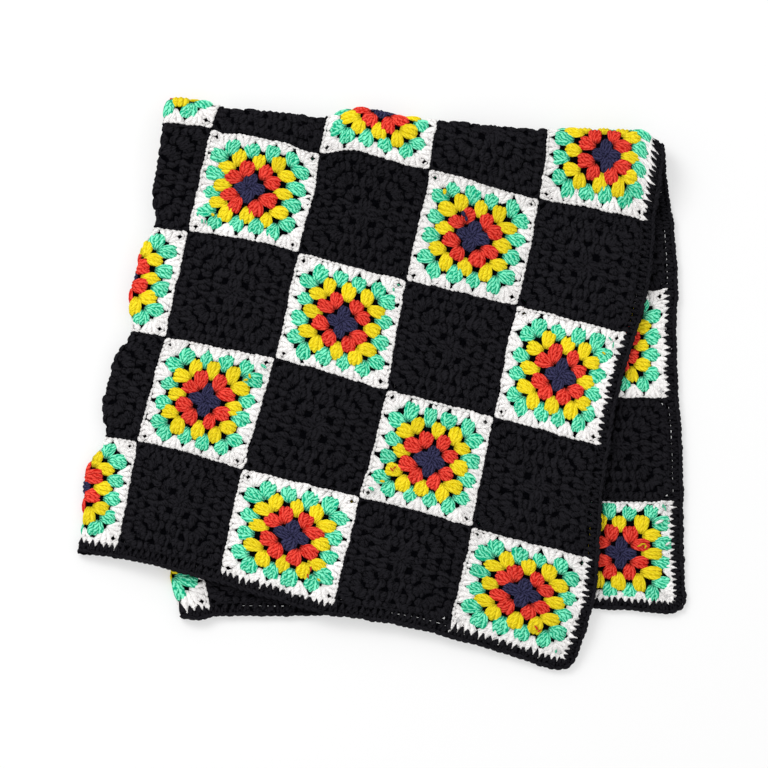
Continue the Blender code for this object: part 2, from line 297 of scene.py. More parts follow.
    def left_fold(self, across: Numbers, up: Numbers) -> tuple[Numbers, Numbers, Numbers]:
        """Turn the left half under the right half.

        Args:
            across: Flat distance from the cloth's right edge.
            up: Flat distance from its bottom edge.

        Returns:
            The distance inward from the fold, the distance along it, and the share of the pair's
            thickness, which is 0 on its lower layer and 1 on its upper one.
        """
        slant = math.atan(self.left_fold_slope)
        beyond = across - self.left_fold_at
        wave = along_rows(up / SQUARE, self.left_edge)
        past = (beyond - self.left_fold_slope * up) * math.cos(slant) - wave
        along = up * math.cos(slant) + beyond * math.sin(slant)
        turn = np.clip(past / self.left_radius, -math.pi / 2, math.pi / 2)
        kept_left = width_kept(up, self.left_side_width)
        kept_right = width_kept(up, self.right_side_width)
        flat_part = (np.abs(past) - self.left_half_turn) * np.where(past > 0, kept_left, kept_right)
        in_round = -self.left_radius * np.cos(turn)
        inward = np.where(np.abs(past) > self.left_half_turn, flat_part, in_round)
        inward = inward + wave * (2.0 * smooth(past / self.wave_fade) - 1.0)
        return inward, along, 0.5 - 0.5 * np.sin(turn)

    def flat_place(self, inward: Numbers, along: Numbers, left_side: bool) -> tuple[Numbers, Numbers]:
        """Undo the left fold on one side of it.

        Args:
            inward: Distance inward from the fold, in plan.
            along: Distance along it.
            left_side: Whether the left half of the cloth is meant.

        Returns:
            The flat distances from the cloth's right edge and its bottom edge.
        """
        slant = math.atan(self.left_fold_slope)
        rows = self.left_side_width if left_side else self.right_side_width
        past = (inward / width_kept(along, rows) + self.left_half_turn) * (1 if left_side else -1)
        across = along * math.sin(slant) + past * math.cos(slant) + self.left_fold_at
        return across, along * math.cos(slant) - past * math.sin(slant)

    def to_top_fold(self, inward: Numbers, along: Numbers) -> tuple[Numbers, Numbers]:
        """Turn plan axes on the left fold into axes on the top fold.

        Args:
            inward: Distance inward from the left fold.
            along: Distance along it.

        Returns:
            The distance along the top fold, and the distance out across it.
        """
        rise = along - self.top_fold_at
        side = inward * math.cos(self.top_fold_turn) + rise * math.sin(self.top_fold_turn)
        return side, rise * math.cos(self.top_fold_turn) - inward * math.sin(self.top_fold_turn)

    def from_top_fold(self, side: Numbers, out: Numbers) -> tuple[Numbers, Numbers]:
        """Undo to_top_fold.

        Args:
            side: Distance along the top fold.
            out: Distance out across it.

        Returns:
            The distance inward from the left fold, and the distance along it.
        """
        inward = side * math.cos(self.top_fold_turn) - out * math.sin(self.top_fold_turn)
        rise = side * math.sin(self.top_fold_turn) + out * math.cos(self.top_fold_turn)
        return inward, rise + self.top_fold_at

    def cover(self, outside: Numbers, run: float) -> Numbers:
        """How fully a layer holds up what lies on it, from the distance outside that layer."""
        return 1.0 - smooth((outside - self.ledge_margin) / run)

    def pulled(self, side: Numbers, out: Numbers, slab_past: Numbers) -> tuple[Numbers, Numbers]:
        """Pull a place of a folded pair of layers out of true.

        Args:
            side: Distance along the top fold.
            out: Distance out across it.
            slab_past: How far past the top fold the cloth there is.

        Returns:
            The pulled distances along and out.
        """
        inward, along = self.from_top_fold(side, slab_past)
        turn = self.lay_turn + self.top_fold_turn
        hold = smooth(np.abs(slab_past) / self.pull_fade)
        for pull in self.pulls:
            gap = np.hypot(inward / SQUARE - pull.inward, along / SQUARE - pull.along)
            share = hold * np.exp(-0.5 * (gap / pull.reach) ** 2)
            side = side + share * (pull.right * math.cos(turn) + pull.away * math.sin(turn))
            out = out + share * (pull.away * math.cos(turn) - pull.right * math.sin(turn))
        return side, out

    def far_edges(self, side: Numbers, out: Numbers, quarter: float) -> tuple[Numbers, Numbers, Numbers]:
        """Find the edges of the two far layers.

        Args:
            side: Distance along the top fold.
            out: Distance out across it.
            quarter: The cloth in a quarter turn of the top fold.

        Returns:
            How far the place lies outside the lowest layer, the second one, and their left fold.
        """
        edge = FIELD + EDGING_WIDTH
        slab_past = quarter - out / self.far_half_take_up
        moved_side, moved_out = self.pulled(side, out, slab_past)
        side = 2 * side - moved_side
        slab_past = quarter - (2 * out - moved_out) / self.far_half_take_up
        inward, along = self.from_top_fold(side, slab_past)
        left = -inward - along_rows(along / SQUARE, self.left_edge) - self.left_radius
        across, up = self.flat_place(inward, along, left_side=False)
        lowest = np.maximum.reduce([-EDGING_WIDTH - across, up - edge, left])
        across, up = self.flat_place(inward, along, left_side=True)
        return lowest, np.maximum.reduce([across - edge, up - edge, left]), left

    def loose_round(self, inward: Numbers) -> Numbers:
        """How much the left fold's loose round lifts the upper layer of a pair."""
        return self.left_fold_loft * (1.0 - smooth(inward / self.left_loft_run))

    def far_heights(self, side: Numbers, slab_past: Numbers) -> tuple[float, Numbers]:
        """Find the middle heights of the two far layers.

        Args:
            side: Distance along the top fold.
            slab_past: How far past it the cloth is.

        Returns:
            The lowest layer's height and the second one's.
        """
        inward, along = self.from_top_fold(side, slab_past)
        across, up = self.flat_place(inward, along, left_side=False)
        outside = np.maximum(-EDGING_WIDTH - across, up - FIELD - EDGING_WIDTH)
        step = self.layer_step * self.cover(outside, self.ledge_run)
        return self.bottom_layer, self.bottom_layer + step + self.loose_round(inward)

    def near_heights(self, side: Numbers, out: Numbers, laid_side: Numbers, laid_out: Numbers,
                     quarter: float) -> tuple[Numbers, Numbers]:
        """Find the middle heights of the two near layers, above what lies under them.

        Args:
            side: Distance along the top fold.
            out: Distance out across it.
            laid_side: The distance along, once it is pulled.
            laid_out: The distance out, once it is pulled.
            quarter: The cloth in a quarter turn of the top fold.

        Returns:
            The lower layer's height and the upper one's.
        """
        lowest, second, left = self.far_edges(laid_side, laid_out, quarter)
        steps = self.cover(lowest, self.two_ledge_run) + self.cover(second, self.two_ledge_run)
        loft = self.cover(-left, self.left_loft_run) * self.cover(left, self.two_ledge_run)
        lower = self.bottom_layer + self.layer_step * steps + self.left_fold_loft * loft
        inward, along = self.from_top_fold(side, out - quarter)
        across, up = self.flat_place(inward, along, left_side=True)
        outside = np.maximum(across - FIELD - EDGING_WIDTH, -EDGING_WIDTH - up)
        step = self.layer_step * self.cover(outside, self.ledge_run)
        return lower, lower + step + self.loose_round(inward)

    def lay_down(self, side: Numbers, out: Numbers, height: Numbers) -> np.ndarray:
        """Wave the top fold's edge, swell the stack a little and turn it as it lies.

        Args:
            side: Distances along the top fold.
            out: Distances out across it.
            height: Heights above the ground.

        Returns:
            The places, one row of three numbers for each.
        """
        wave = along_rows(side / SQUARE, self.top_edge)
        inward, along = self.from_top_fold(side, out + wave * smooth(out / self.top_wave_run + 1.0))
        turn = self.lay_turn
        right = self.lay_corner[0] + inward * math.cos(turn) - along * math.sin(turn)
        away = self.lay_corner[1] + inward * math.sin(turn) + along * math.cos(turn)
        ripple = (np.sin(2 * math.pi * right / self.swell_length)
                  * np.cos(2 * math.pi * away / self.swell_length))
        lift = (height - self.bottom_layer) / (3 * self.layer_step)
        raised = height + self.swell * ripple * lift
        return np.stack([right - self.centre[0], away - self.centre[1], raised], axis=-1)

    def place(self, across: np.ndarray, up: np.ndarray) -> np.ndarray:
        """Lay flat places down as they rest in the folded blanket, at the cloth's middle.

        Args:
            across: Flat distances from the cloth's right edge.
            up: Flat distances from its bottom edge.

        Returns:
            The places, one row of three numbers for each.
        """
        angles, cloth = self.quarter_round()
        quarter = cloth[-1]
        inward, along, share = self.left_fold(across, up)
        side, past = self.to_top_fold(inward, along)
        near = past < -quarter
        far = past > quarter
        turn = np.interp(quarter - np.clip(np.abs(past), 0.0, quarter), cloth, angles)
        turn = np.where(past < 0, turn, math.pi - turn)
        spread = self.layer_step + self.loose_round(inward)
        out = (self.top_round_reach + (share - 0.5) * spread) * np.sin(turn)
        out = np.where(near, past + quarter, out)
        out = np.where(far, (quarter - past) * self.far_half_take_up, out)
        laid_side, laid_out = self.pulled(side, out, past)
        lower, upper = self.near_heights(
            side, np.minimum(out, 0.0), laid_side, np.minimum(laid_out, 0.0), quarter)
        near_height = lower + share * (upper - lower)
        lowest, second = self.far_heights(side, np.maximum(past, quarter))
        far_height = second + share * (lowest - second)
        crown = near_height + self.top_loft
        approach = near_height + self.top_loft * smooth(laid_out / self.top_loft_run + 1.0)
        round_height = (crown + far_height) / 2 + (crown - far_height) / 2 * np.cos(turn)
        height = np.where(near, approach, np.where(far, far_height, round_height))
        return self.lay_down(laid_side, laid_out, height)

    def shows(self, across: Numbers, up: Numbers) -> Numbers:
        """Find out what shows from above.

        Args:
            across: Flat distances from the cloth's right edge.
            up: Flat distances from its bottom edge.

        Returns:
            Whether each place is on a layer that shows or lies round a fold.
        """
        inward, along, share = self.left_fold(across, up)
        past = self.to_top_fold(inward, along)[1]
        near = (share > 0.5) | (inward < self.near_shows)
        far = (across > FIELD - self.right_strip) | (inward < self.far_shows)
        far |= (up > FIELD - self.bottom_strip) & (across > self.left_fold_at - self.strip_margin)
        return np.where(past < self.top_shows, near, far)


@dataclass(frozen=True)
class Slip:
    """How far the work has slipped along the cloth at a place: squares, then metres."""

    column: float
    row: float
    across: float
    up: float


@dataclass(frozen=True)
class Handwork:
    """How hand work strays from the chart: squares stretch and slip, and seams wander."""

    reach: float = 0.62
    firmness: float = 0.04
    wander: float = 0.0005
    wander_lengths: tuple[float, ...] = (0.083, 0.047, 0.031)
    sway_slants: tuple[float, float] = (0.37, 0.71)
    rise_slants: tuple[float, float] = (0.43, 0.67)
    slips: tuple[Slip, ...] = tuple(Slip(*row) for row in (
        (0.0, 0.0, 0.0023, -0.0042), (1.0, 0.0, 0.0020, 0.0025), (2.0, 0.0, -0.0029, -0.0071),
        (3.0, 0.0, 0.0021, -0.0032), (4.0, 0.0, -0.0055, 0.0003), (0.0, 1.0, -0.0050, -0.0036),
        (1.0, 1.0, -0.0002, -0.0015), (2.0, 1.0, -0.0009, -0.0024), (3.0, 1.0, 0.0052, -0.0057),
        (0.0, 2.0, -0.0018, 0.0016), (1.0, 2.0, -0.0014, 0.0032), (2.0, 2.0, -0.0020, 0.0007),
        (3.0, 2.0, 0.0000, 0.0040), (4.0, 2.0, -0.0042, -0.0004), (0.0, 3.0, -0.0070, -0.0014),
        (1.0, 3.0, -0.0034, 0.0001), (2.0, 3.0, 0.0034, -0.0025), (3.0, 3.0, 0.0020, 0.0001),
        (4.0, 3.0, 0.0006, -0.0022), (0.0, 4.0, -0.0020, 0.0008), (1.0, 4.0, -0.0044, -0.0014),
        (2.0, 4.0, -0.0016, 0.0022), (3.0, 4.0, -0.0027, -0.0022), (4.0, 4.0, -0.0045, -0.0062),
        (9.0, 6.0, 0.0034, -0.0020), (9.0, 7.0, -0.0009, -0.0005), (9.0, 8.0, -0.0004, -0.0006),
        (8.25, 9.0, -0.0004, -0.0026), (8.76, 6.0, 0.0042, 0.0023), (8.58, 7.0, 0.0017, 0.0008),
        (0.0, 1.5, 0.0019, 0.0000), (0.0, 2.5, 0.0032, 0.0000), (0.5, 0.0, 0.0000, 0.0016),
        (1.5, 0.0, 0.0000, 0.0038), (2.5, 0.0, 0.0000, -0.0025), (3.5, 0.0, 0.0000, -0.0010),
        (9.0, 6.5, -0.0008, 0.0000), (9.0, 7.5, 0.0015, 0.0000), (5.5, 9.0, 0.0000, 0.0025),
        (6.5, 9.0, 0.0000, 0.0024), (7.5, 9.0, 0.0000, 0.0045), (5.0, 9.0, 0.0000, 0.0010),
        (4.2, 9.0, 0.0000, -0.0060), (3.5, 9.0, 0.0000, -0.0095), (2.7, 9.0, 0.0000, -0.0060),
        (4.36, 4.0, -0.0014, -0.0128), (3.75, 4.0, -0.0053, 0.0022), (4.15, 4.18, -0.0075, -0.0040),
        (8.5, 8.5, -0.0005, 0.0030),
    ))

    def hold(self, gap: Numbers) -> Numbers:
        """How much a slip moves the work at a distance from it."""
        return np.exp(-0.5 * (gap / (self.reach * SQUARE)) ** 2)

    def strayed(self, across: np.ndarray, up: np.ndarray) -> tuple[np.ndarray, np.ndarray]:
        """Move flat places as the hand work strays, easing from each slip to the next.

        Args:
            across: Flat distances from the cloth's right edge.
            up: Flat distances from its bottom edge.

        Returns:
            The moved distances across and up.
        """
        spots = np.array([(slip.column, slip.row) for slip in self.slips]) * SQUARE
        moves = np.array([(slip.across, slip.up) for slip in self.slips])
        pull = self.hold(np.linalg.norm(spots[:, None] - spots[None, :], axis=-1))
        weights = np.linalg.solve(pull + self.firmness * np.eye(len(spots)), moves)
        moved = np.stack([across, up], axis=-1)
        for spot, weight in zip(spots, weights):
            moved = moved + self.hold(np.hypot(across - spot[0], up - spot[1]))[..., None] * weight
        for number, length in enumerate(self.wander_lengths):
            wave = 2 * math.pi / length
            slant, other = self.sway_slants
            sway = (np.sin(wave * (across + slant * up) + number)
                    * np.sin(wave * other * up + 2 * number))
            slant, other = self.rise_slants
            rise = (np.sin(wave * (up - slant * across) + 3 * number)
                    * np.sin(wave * other * across + number))
            moved = moved + self.wander * np.stack([sway, rise], axis=-1)
        return moved[..., 0], moved[..., 1]


class Cloth:
    """The folded cloth, sampled once, so that any point of the chart is quickly laid down."""

    STEP = 0.002
    MARGIN = 0.018
    PRESSED = 0.0010
    PRESS_RUN = 0.0016

    def __init__(self, lay: FoldedLay, handwork: Handwork) -> None:
        """Sample the folded cloth's middle and its right side's direction.

        Args:
            lay: The folds.
            handwork: How the work strays.
        """
        count = int(round((FIELD + 2 * self.MARGIN) / self.STEP)) + 1
        line = self.STEP * np.arange(count) - self.MARGIN
        across, up = np.meshgrid(line, line, indexing="ij")
        self.middle = lay.place(*handwork.strayed(across, up))
        normal = np.cross(np.gradient(self.middle, axis=1), np.gradient(self.middle, axis=0))
        self.normal = normal / np.linalg.norm(normal, axis=-1, keepdims=True)
        self.last = count - 2

    def laid(self, chart: np.ndarray) -> np.ndarray:
        """Lay points of the chart down on the folds, pressed flat where they meet the ground.

        Args:
            chart: One row of x, y and z for each point.

        Returns:
            Their places, one row of three numbers for each.
        """
        spot = (np.stack([-chart[:, 0], chart[:, 1]]) + self.MARGIN) / self.STEP
        low = np.clip(np.floor(spot).astype(int), 0, self.last)
        part = np.clip(spot - low, 0.0, 1.0)
        places = np.zeros((len(chart), 3))
        for column in (0, 1):
            for row in (0, 1):
                share = np.abs(1 - column - part[0]) * np.abs(1 - row - part[1])
                corner = (low[0] + column, low[1] + row)
                raised = self.middle[corner] + self.normal[corner] * chart[:, 2:3]
                places += share[:, None] * raised
        under = places[:, 2] < self.PRESSED
        sunk = self.PRESSED - places[under, 2]
        places[under, 2] = self.PRESSED * np.exp(-sunk / self.PRESS_RUN)
        return places


# -------------------------------------------------------------------------------- the shading


class NodeTree:
    """A tree of nodes, and the one way its nodes are made."""

    def __init__(self, tree: bpy.types.NodeTree) -> None:
        """Take up a tree."""
        self.tree = tree

    def node(self, kind: str, settings: dict[str, Any] | None = None,
             values: dict[Any, Any] | None = None) -> bpy.types.Node:
        """Make a node.

        Args:
            kind: The node's type.
            settings: Its settings, which are set first.
            values: The values of its sockets, by name or number: a Sum, a socket or a constant.

        Returns:
            The node.
        """
        node = self.tree.nodes.new(kind)
        for name, value in (settings or {}).items():
            setattr(node, name, value)
        for name, value in (values or {}).items():
            given = value.link if isinstance(value, Sum) else value
            if isinstance(given, bpy.types.NodeSocket):
                self.tree.links.new(given, node.inputs[name])
            else:
                node.inputs[name].default_value = given
        return node


class Sum:
    """A number in a shader, so that sums can be written as they are said."""

    def __init__(self, shader: NodeTree, link: bpy.types.NodeSocket) -> None:
        """Wrap a socket of a shader."""
        self.shader = shader
        self.link = link

    def _with(self, operation: str, *others: Any) -> "Sum":
        """Add a Math node for a few values."""
        node = self.shader.node("ShaderNodeMath", {"operation": operation}, dict(enumerate(others)))
        return Sum(self.shader, node.outputs[0])
    def __add__(self, other: Any) -> "Sum":
        """Add."""
        return self._with("ADD", self, other)

    def __radd__(self, other: Any) -> "Sum":
        """Add to a number."""
        return self._with("ADD", other, self)

    def __sub__(self, other: Any) -> "Sum":
        """Take away."""
        return self._with("SUBTRACT", self, other)

    def __rsub__(self, other: Any) -> "Sum":
        """Take away from a number."""
        return self._with("SUBTRACT", other, self)

    def __mul__(self, other: Any) -> "Sum":
        """Multiply."""
        return self._with("MULTIPLY", self, other)

    def __rmul__(self, other: Any) -> "Sum":
        """Multiply a number."""
        return self._with("MULTIPLY", other, self)

    def size(self) -> "Sum":
        """The value without its sign."""
        return self._with("ABSOLUTE", self)

    def cosine(self) -> "Sum":
        """The cosine."""
        return self._with("COSINE", self)

    def eased(self, low: float, high: float) -> "Sum":
        """Ease from 0 to 1.

        Args:
            low: The value where it starts.
            high: The value where it ends.

        Returns:
            The eased value.
        """
        values = {"Value": self, "From Min": low, "From Max": high}
        node = self.shader.node("ShaderNodeMapRange", {"interpolation_type": "SMOOTHSTEP"}, values)
        return Sum(self.shader, node.outputs[0])


class Shader(NodeTree):
    """A material's node tree."""

    def __init__(self, name: str) -> None:
        """Start a material with no nodes.

        Args:
            name: The material's name.
        """
        self.material = bpy.data.materials.new(name)
        self.material.use_nodes = True
        super().__init__(self.material.node_tree)
        self.tree.nodes.clear()

    def mix(self, share: Sum, first: Colour, second: Colour) -> bpy.types.NodeSocket:
        """Mix two colours, share being how much of the second there is."""
        values = {0: share, 6: (*first, 1.0), 7: (*second, 1.0)}
        return self.node("ShaderNodeMix", {"data_type": "RGBA"}, values).outputs[2]

    def noise(self, scale: float, detail: float, roughness: float = 0.5) -> Sum:
        """Make a noise that is fixed to the piece.

        Args:
            scale: How fine it is.
            detail: How many finer layers it has.
            roughness: How strong those are.

        Returns:
            The noise, from 0 to 1.
        """
        place = self.node("ShaderNodeTexCoord").outputs["Object"]
        values = {"Vector": place, "Scale": scale, "Detail": detail, "Roughness": roughness}
        return Sum(self, self.node("ShaderNodeTexNoise", None, values).outputs[0])

    def finished(self, values: dict[str, Any]) -> bpy.types.Material:
        """End the tree in one surface.

        Args:
            values: The values of the surface's sockets, by name.

        Returns:
            The material.
        """
        surface = self.node("ShaderNodeBsdfPrincipled", None, values)
        self.node("ShaderNodeOutputMaterial", None, {"Surface": surface.outputs[0]})
        return self.material


@dataclass(frozen=True)
class Yarn:
    """A yarn: its lit colour, the colour in its grooves, and how it takes light.

    Its plies, the strand's crown and its fibres share the relief, which paints shade into the colour:
    the grooves between plies and the strand's sides take the painted groove shade, the rest the lit
    colour. Patches bend the plies and mottle the yarn. The darkest cluster's tone, and the range
    above it, are shares of the colour.
    """

    name: str
    lit: Colour
    # The second colour is painted shade: the colour given to the grooves between plies and to the
    # strand's sides.
    groove_shade: Colour
    slot: str = "squares_yarn"
    roughness: float = 0.85
    gloss: float = 0.01
    depth: float = 0.0010
    plies: float = 4.0
    twist: float = 0.85
    bend: float = 0.22
    grooves: float = 0.16
    contrast: float = 0.44
    ply_share: float = 0.50
    crown_share: float = 0.32
    crown_range: tuple[float, float] = (0.25, 0.95)
    fibre_scale: float = 1500.0
    fibre_roughness: float = 0.6
    patch_scale: float = 260.0
    patch_bend: float = 1.8
    noise_detail: float = 2.0
    mottle: float = 0.0
    root_shade: float = 0.55
    root_run: float = 0.50
    darkest: float = 0.88
    tone_range: float = 0.20
    ply_bump: float = 0.7

    def material(self) -> bpy.types.Material:
        """Build the yarn's material.

        The yarn map runs along each strand in x, one unit to a wrap, and once round it in y, with
        its top at a quarter. The tone attribute makes each cluster a little lighter or darker. A
        cluster's root, where the map starts, lies deep in the work and is shaded.

        Returns:
            The material.
        """
        shader = Shader(self.name + "_yarn")
        spread = shader.node("ShaderNodeSeparateXYZ", None, {
            0: shader.node("ShaderNodeUVMap", {"uv_map": "yarn"}).outputs[0]})
        along = Sum(shader, spread.outputs[0])
        round_it = Sum(shader, spread.outputs[1])
        tone = Sum(shader, shader.node("ShaderNodeAttribute", {"attribute_name": "tone"}).outputs["Fac"])
        fibre = shader.noise(self.fibre_scale, self.noise_detail, self.fibre_roughness)
        patch = shader.noise(self.patch_scale, self.noise_detail)
        turns = along * (self.twist + along * self.bend) + round_it * self.plies + patch * self.patch_bend
        ply = 0.5 + 0.5 * (turns * (2 * math.pi)).cosine()
        # Painted shade: the strand's sides are coloured darker than its crown.
        crown = 0.5 - 0.5 * ((round_it + StrandMesh.TOP) * (2 * math.pi)).cosine()
        relief = (ply * self.ply_share + crown.eased(*self.crown_range) * self.crown_share
                  + fibre * (1.0 - self.crown_share - self.ply_share))
        if self.mottle:
            relief = relief + (patch - 0.5) * self.mottle
        # The relief mixes the painted groove shade with the lit colour.
        lit = shader.mix(relief.eased(self.grooves, self.grooves + self.contrast), self.groove_shade, self.lit)
        root = along.size().eased(0.0, self.root_run)
        value = (self.darkest + tone * self.tone_range) * (1.0 - self.root_shade + root * self.root_shade)
        shade = shader.node("ShaderNodeHueSaturation", None, {"Value": value, "Color": lit})
        height = ply * self.ply_bump + fibre * (1.0 - self.ply_bump)
        bump = shader.node("ShaderNodeBump", None, {
            "Strength": 1.0, "Distance": self.depth, "Height": height})
        return shader.finished({
            "Base Color": shade.outputs[0], "Normal": bump.outputs[0], "Roughness": self.roughness,
            "Specular IOR Level": self.gloss})


# The black yarn's lit colour, and its painted shade in the grooves and on the strand's sides.
BLACK_LIT = (0.0149, 0.0143, 0.0172)
BLACK_GROOVE_SHADE = (0.0006, 0.0006, 0.0012)


class Shade(Enum):
    """The yarns of the blanket."""

    NAVY = Yarn("navy", (0.043, 0.042, 0.100), (0.004, 0.004, 0.014), grooves=0.29, root_shade=0.2)
    RED = Yarn("red", (0.88, 0.078, 0.052), (0.46, 0.001, 0.0002), grooves=0.32)
    YELLOW = Yarn("yellow", (0.94, 0.745, 0.028), (0.68, 0.52, 0.0001), grooves=0.29, root_shade=0.32)
    GREEN = Yarn("mint_green", (0.235, 0.90, 0.585), (0.0005, 0.40, 0.205), grooves=0.445, contrast=0.34)
    WHITE = Yarn("white", (0.945, 0.925, 0.91), (0.66, 0.60, 0.60), grooves=0.10, root_shade=0.2)
    BLACK = Yarn("black", BLACK_LIT, BLACK_GROOVE_SHADE, gloss=0.0, grooves=0.24, contrast=0.52, ply_share=0.24,
                 mottle=1.0, root_shade=0.1)
    EDGING = Yarn("edging", BLACK_LIT, BLACK_GROOVE_SHADE, slot="edging_yarn", gloss=0.0, grooves=0.26,
                  ply_share=0.30, mottle=0.6)


@dataclass(frozen=True)
class BackingShadeFinish:
    """The back of the stitches, painted nearly black as the shade seen in the gaps, with a fine uneven
    weave.
    """

    lit: Colour = (0.0026, 0.0026, 0.0037)
    groove_shade: Colour = (0.0007, 0.0007, 0.0012)
    weave_scale: float = 900.0
    weave_detail: float = 3.0
    weave_range: tuple[float, float] = (0.35, 0.7)
    relief: float = 0.8
    depth: float = 0.0006
    roughness: float = 0.95
    gloss: float = 0.0

    def material(self) -> bpy.types.Material:
        """Build the material.

        Returns:
            The material.
        """
        shader = Shader("backing_cloth")
        weave = shader.noise(self.weave_scale, self.weave_detail)
        colour = shader.mix(weave.eased(*self.weave_range), self.groove_shade, self.lit)
        bump = shader.node("ShaderNodeBump", None, {
            "Strength": self.relief, "Distance": self.depth, "Height": weave})
        return shader.finished({
            "Base Color": colour, "Normal": bump.outputs[0], "Roughness": self.roughness,
            "Specular IOR Level": self.gloss})


# ------------------------------------------------------------------------------- the stitches


@dataclass(frozen=True)
class Ring:
    """A cross-section of a strand: its place along it, its middle, and its half width and height."""

    y: float
    x: float
    z: float
    wide: float
    high: float


class StrandMesh:
    """A mesh of closed strands, with a yarn map that follows each of them."""

    POLE = 0.35
    TOP = 0.25
    CAP_WRAP = 0.1

    def __init__(self) -> None:
        """Start with no strands."""
        self.points: list[tuple[float, float, float]] = []
        self.faces: list[tuple[int, ...]] = []
        self.uvs: list[tuple[float, float]] = []

    def add(self, rings: Sequence[Ring], sides: int, wraps: float, phase: float = 0.0) -> None:
        """Add a strand.

        Args:
            rings: Its cross-sections, from its start to its end.
            sides: How many sides it has.
            wraps: How many wraps of yarn show along it, below zero for a left-handed twist.
            phase: Where the first wrap starts.
        """
        first = len(self.points)
        start, end = rings[0], rings[-1]
        length = end.y - start.y
        for ring in rings:
            for side in range(sides):
                angle = 2 * math.pi * (side / sides + self.TOP)
                x, z = ring.x + ring.wide * math.cos(angle), ring.z + ring.high * math.sin(angle)
                self.points.append((x, ring.y, z))
        for row in range(len(rings) - 1):
            low = phase + wraps * (rings[row].y - start.y) / length
            high = phase + wraps * (rings[row + 1].y - start.y) / length
            for side in range(sides):
                near = first + row * sides
                after = (side + 1) % sides
                self.faces.append((near + side, near + sides + side, near + sides + after, near + after))
                left, right = side / sides + self.TOP, (side + 1) / sides + self.TOP
                self.uvs += [(low, left), (high, left), (high, right), (low, right)]
        for ring, outward, base in ((start, -1, first), (end, 1, first + (len(rings) - 1) * sides)):
            pole = len(self.points)
            self.points.append((ring.x, ring.y + outward * self.POLE * ring.wide, ring.z))
            at = phase + wraps * (ring.y - start.y) / length
            for side in range(sides):
                edges = (side, side + 1) if outward < 0 else (side + 1, side)
                self.faces.append((*(base + edge % sides for edge in edges), pole))
                self.uvs += [(at, edge / sides + self.TOP) for edge in edges]
                self.uvs.append((at + self.CAP_WRAP * outward, (side + 0.5) / sides + self.TOP))

    def mesh(self, name: str) -> bpy.types.Mesh:
        """Make the mesh data.

        Args:
            name: Its name.

        Returns:
            The mesh.
        """
        data = bpy.data.meshes.new(name)
        data.from_pydata(self.points, [], self.faces)
        layer = data.uv_layers.new(name="yarn")
        layer.data.foreach_set("uv", np.array(self.uvs, dtype=np.float32).ravel())
        data.shade_smooth()
        data.validate()
        return data


class Stitch(IntEnum):
    """The shapes that are repeated, in the order of their names in the collection."""

    PUFF = 0
    PUFF_PLAIN = 1
    FAN = 2
    FAN_PLAIN = 3
    LOBE = 4
    LOBE_PLAIN = 5
    BLOCK = 6
    BLOCK_PLAIN = 7
    LINK = 8
    LINK_PLAIN = 9
    POST = 10
    SPIKE = 11


@dataclass(frozen=True)
class PostRow:
    """A place up a cluster: how far apart its posts are, their half width and height, their lift."""

    y: float
    spread: float
    wide: float
    high: float
    lift: float


@dataclass(frozen=True)
class ThickRow:
    """A place along a single strand, and how thick the strand is there."""

    y: float
    thick: float


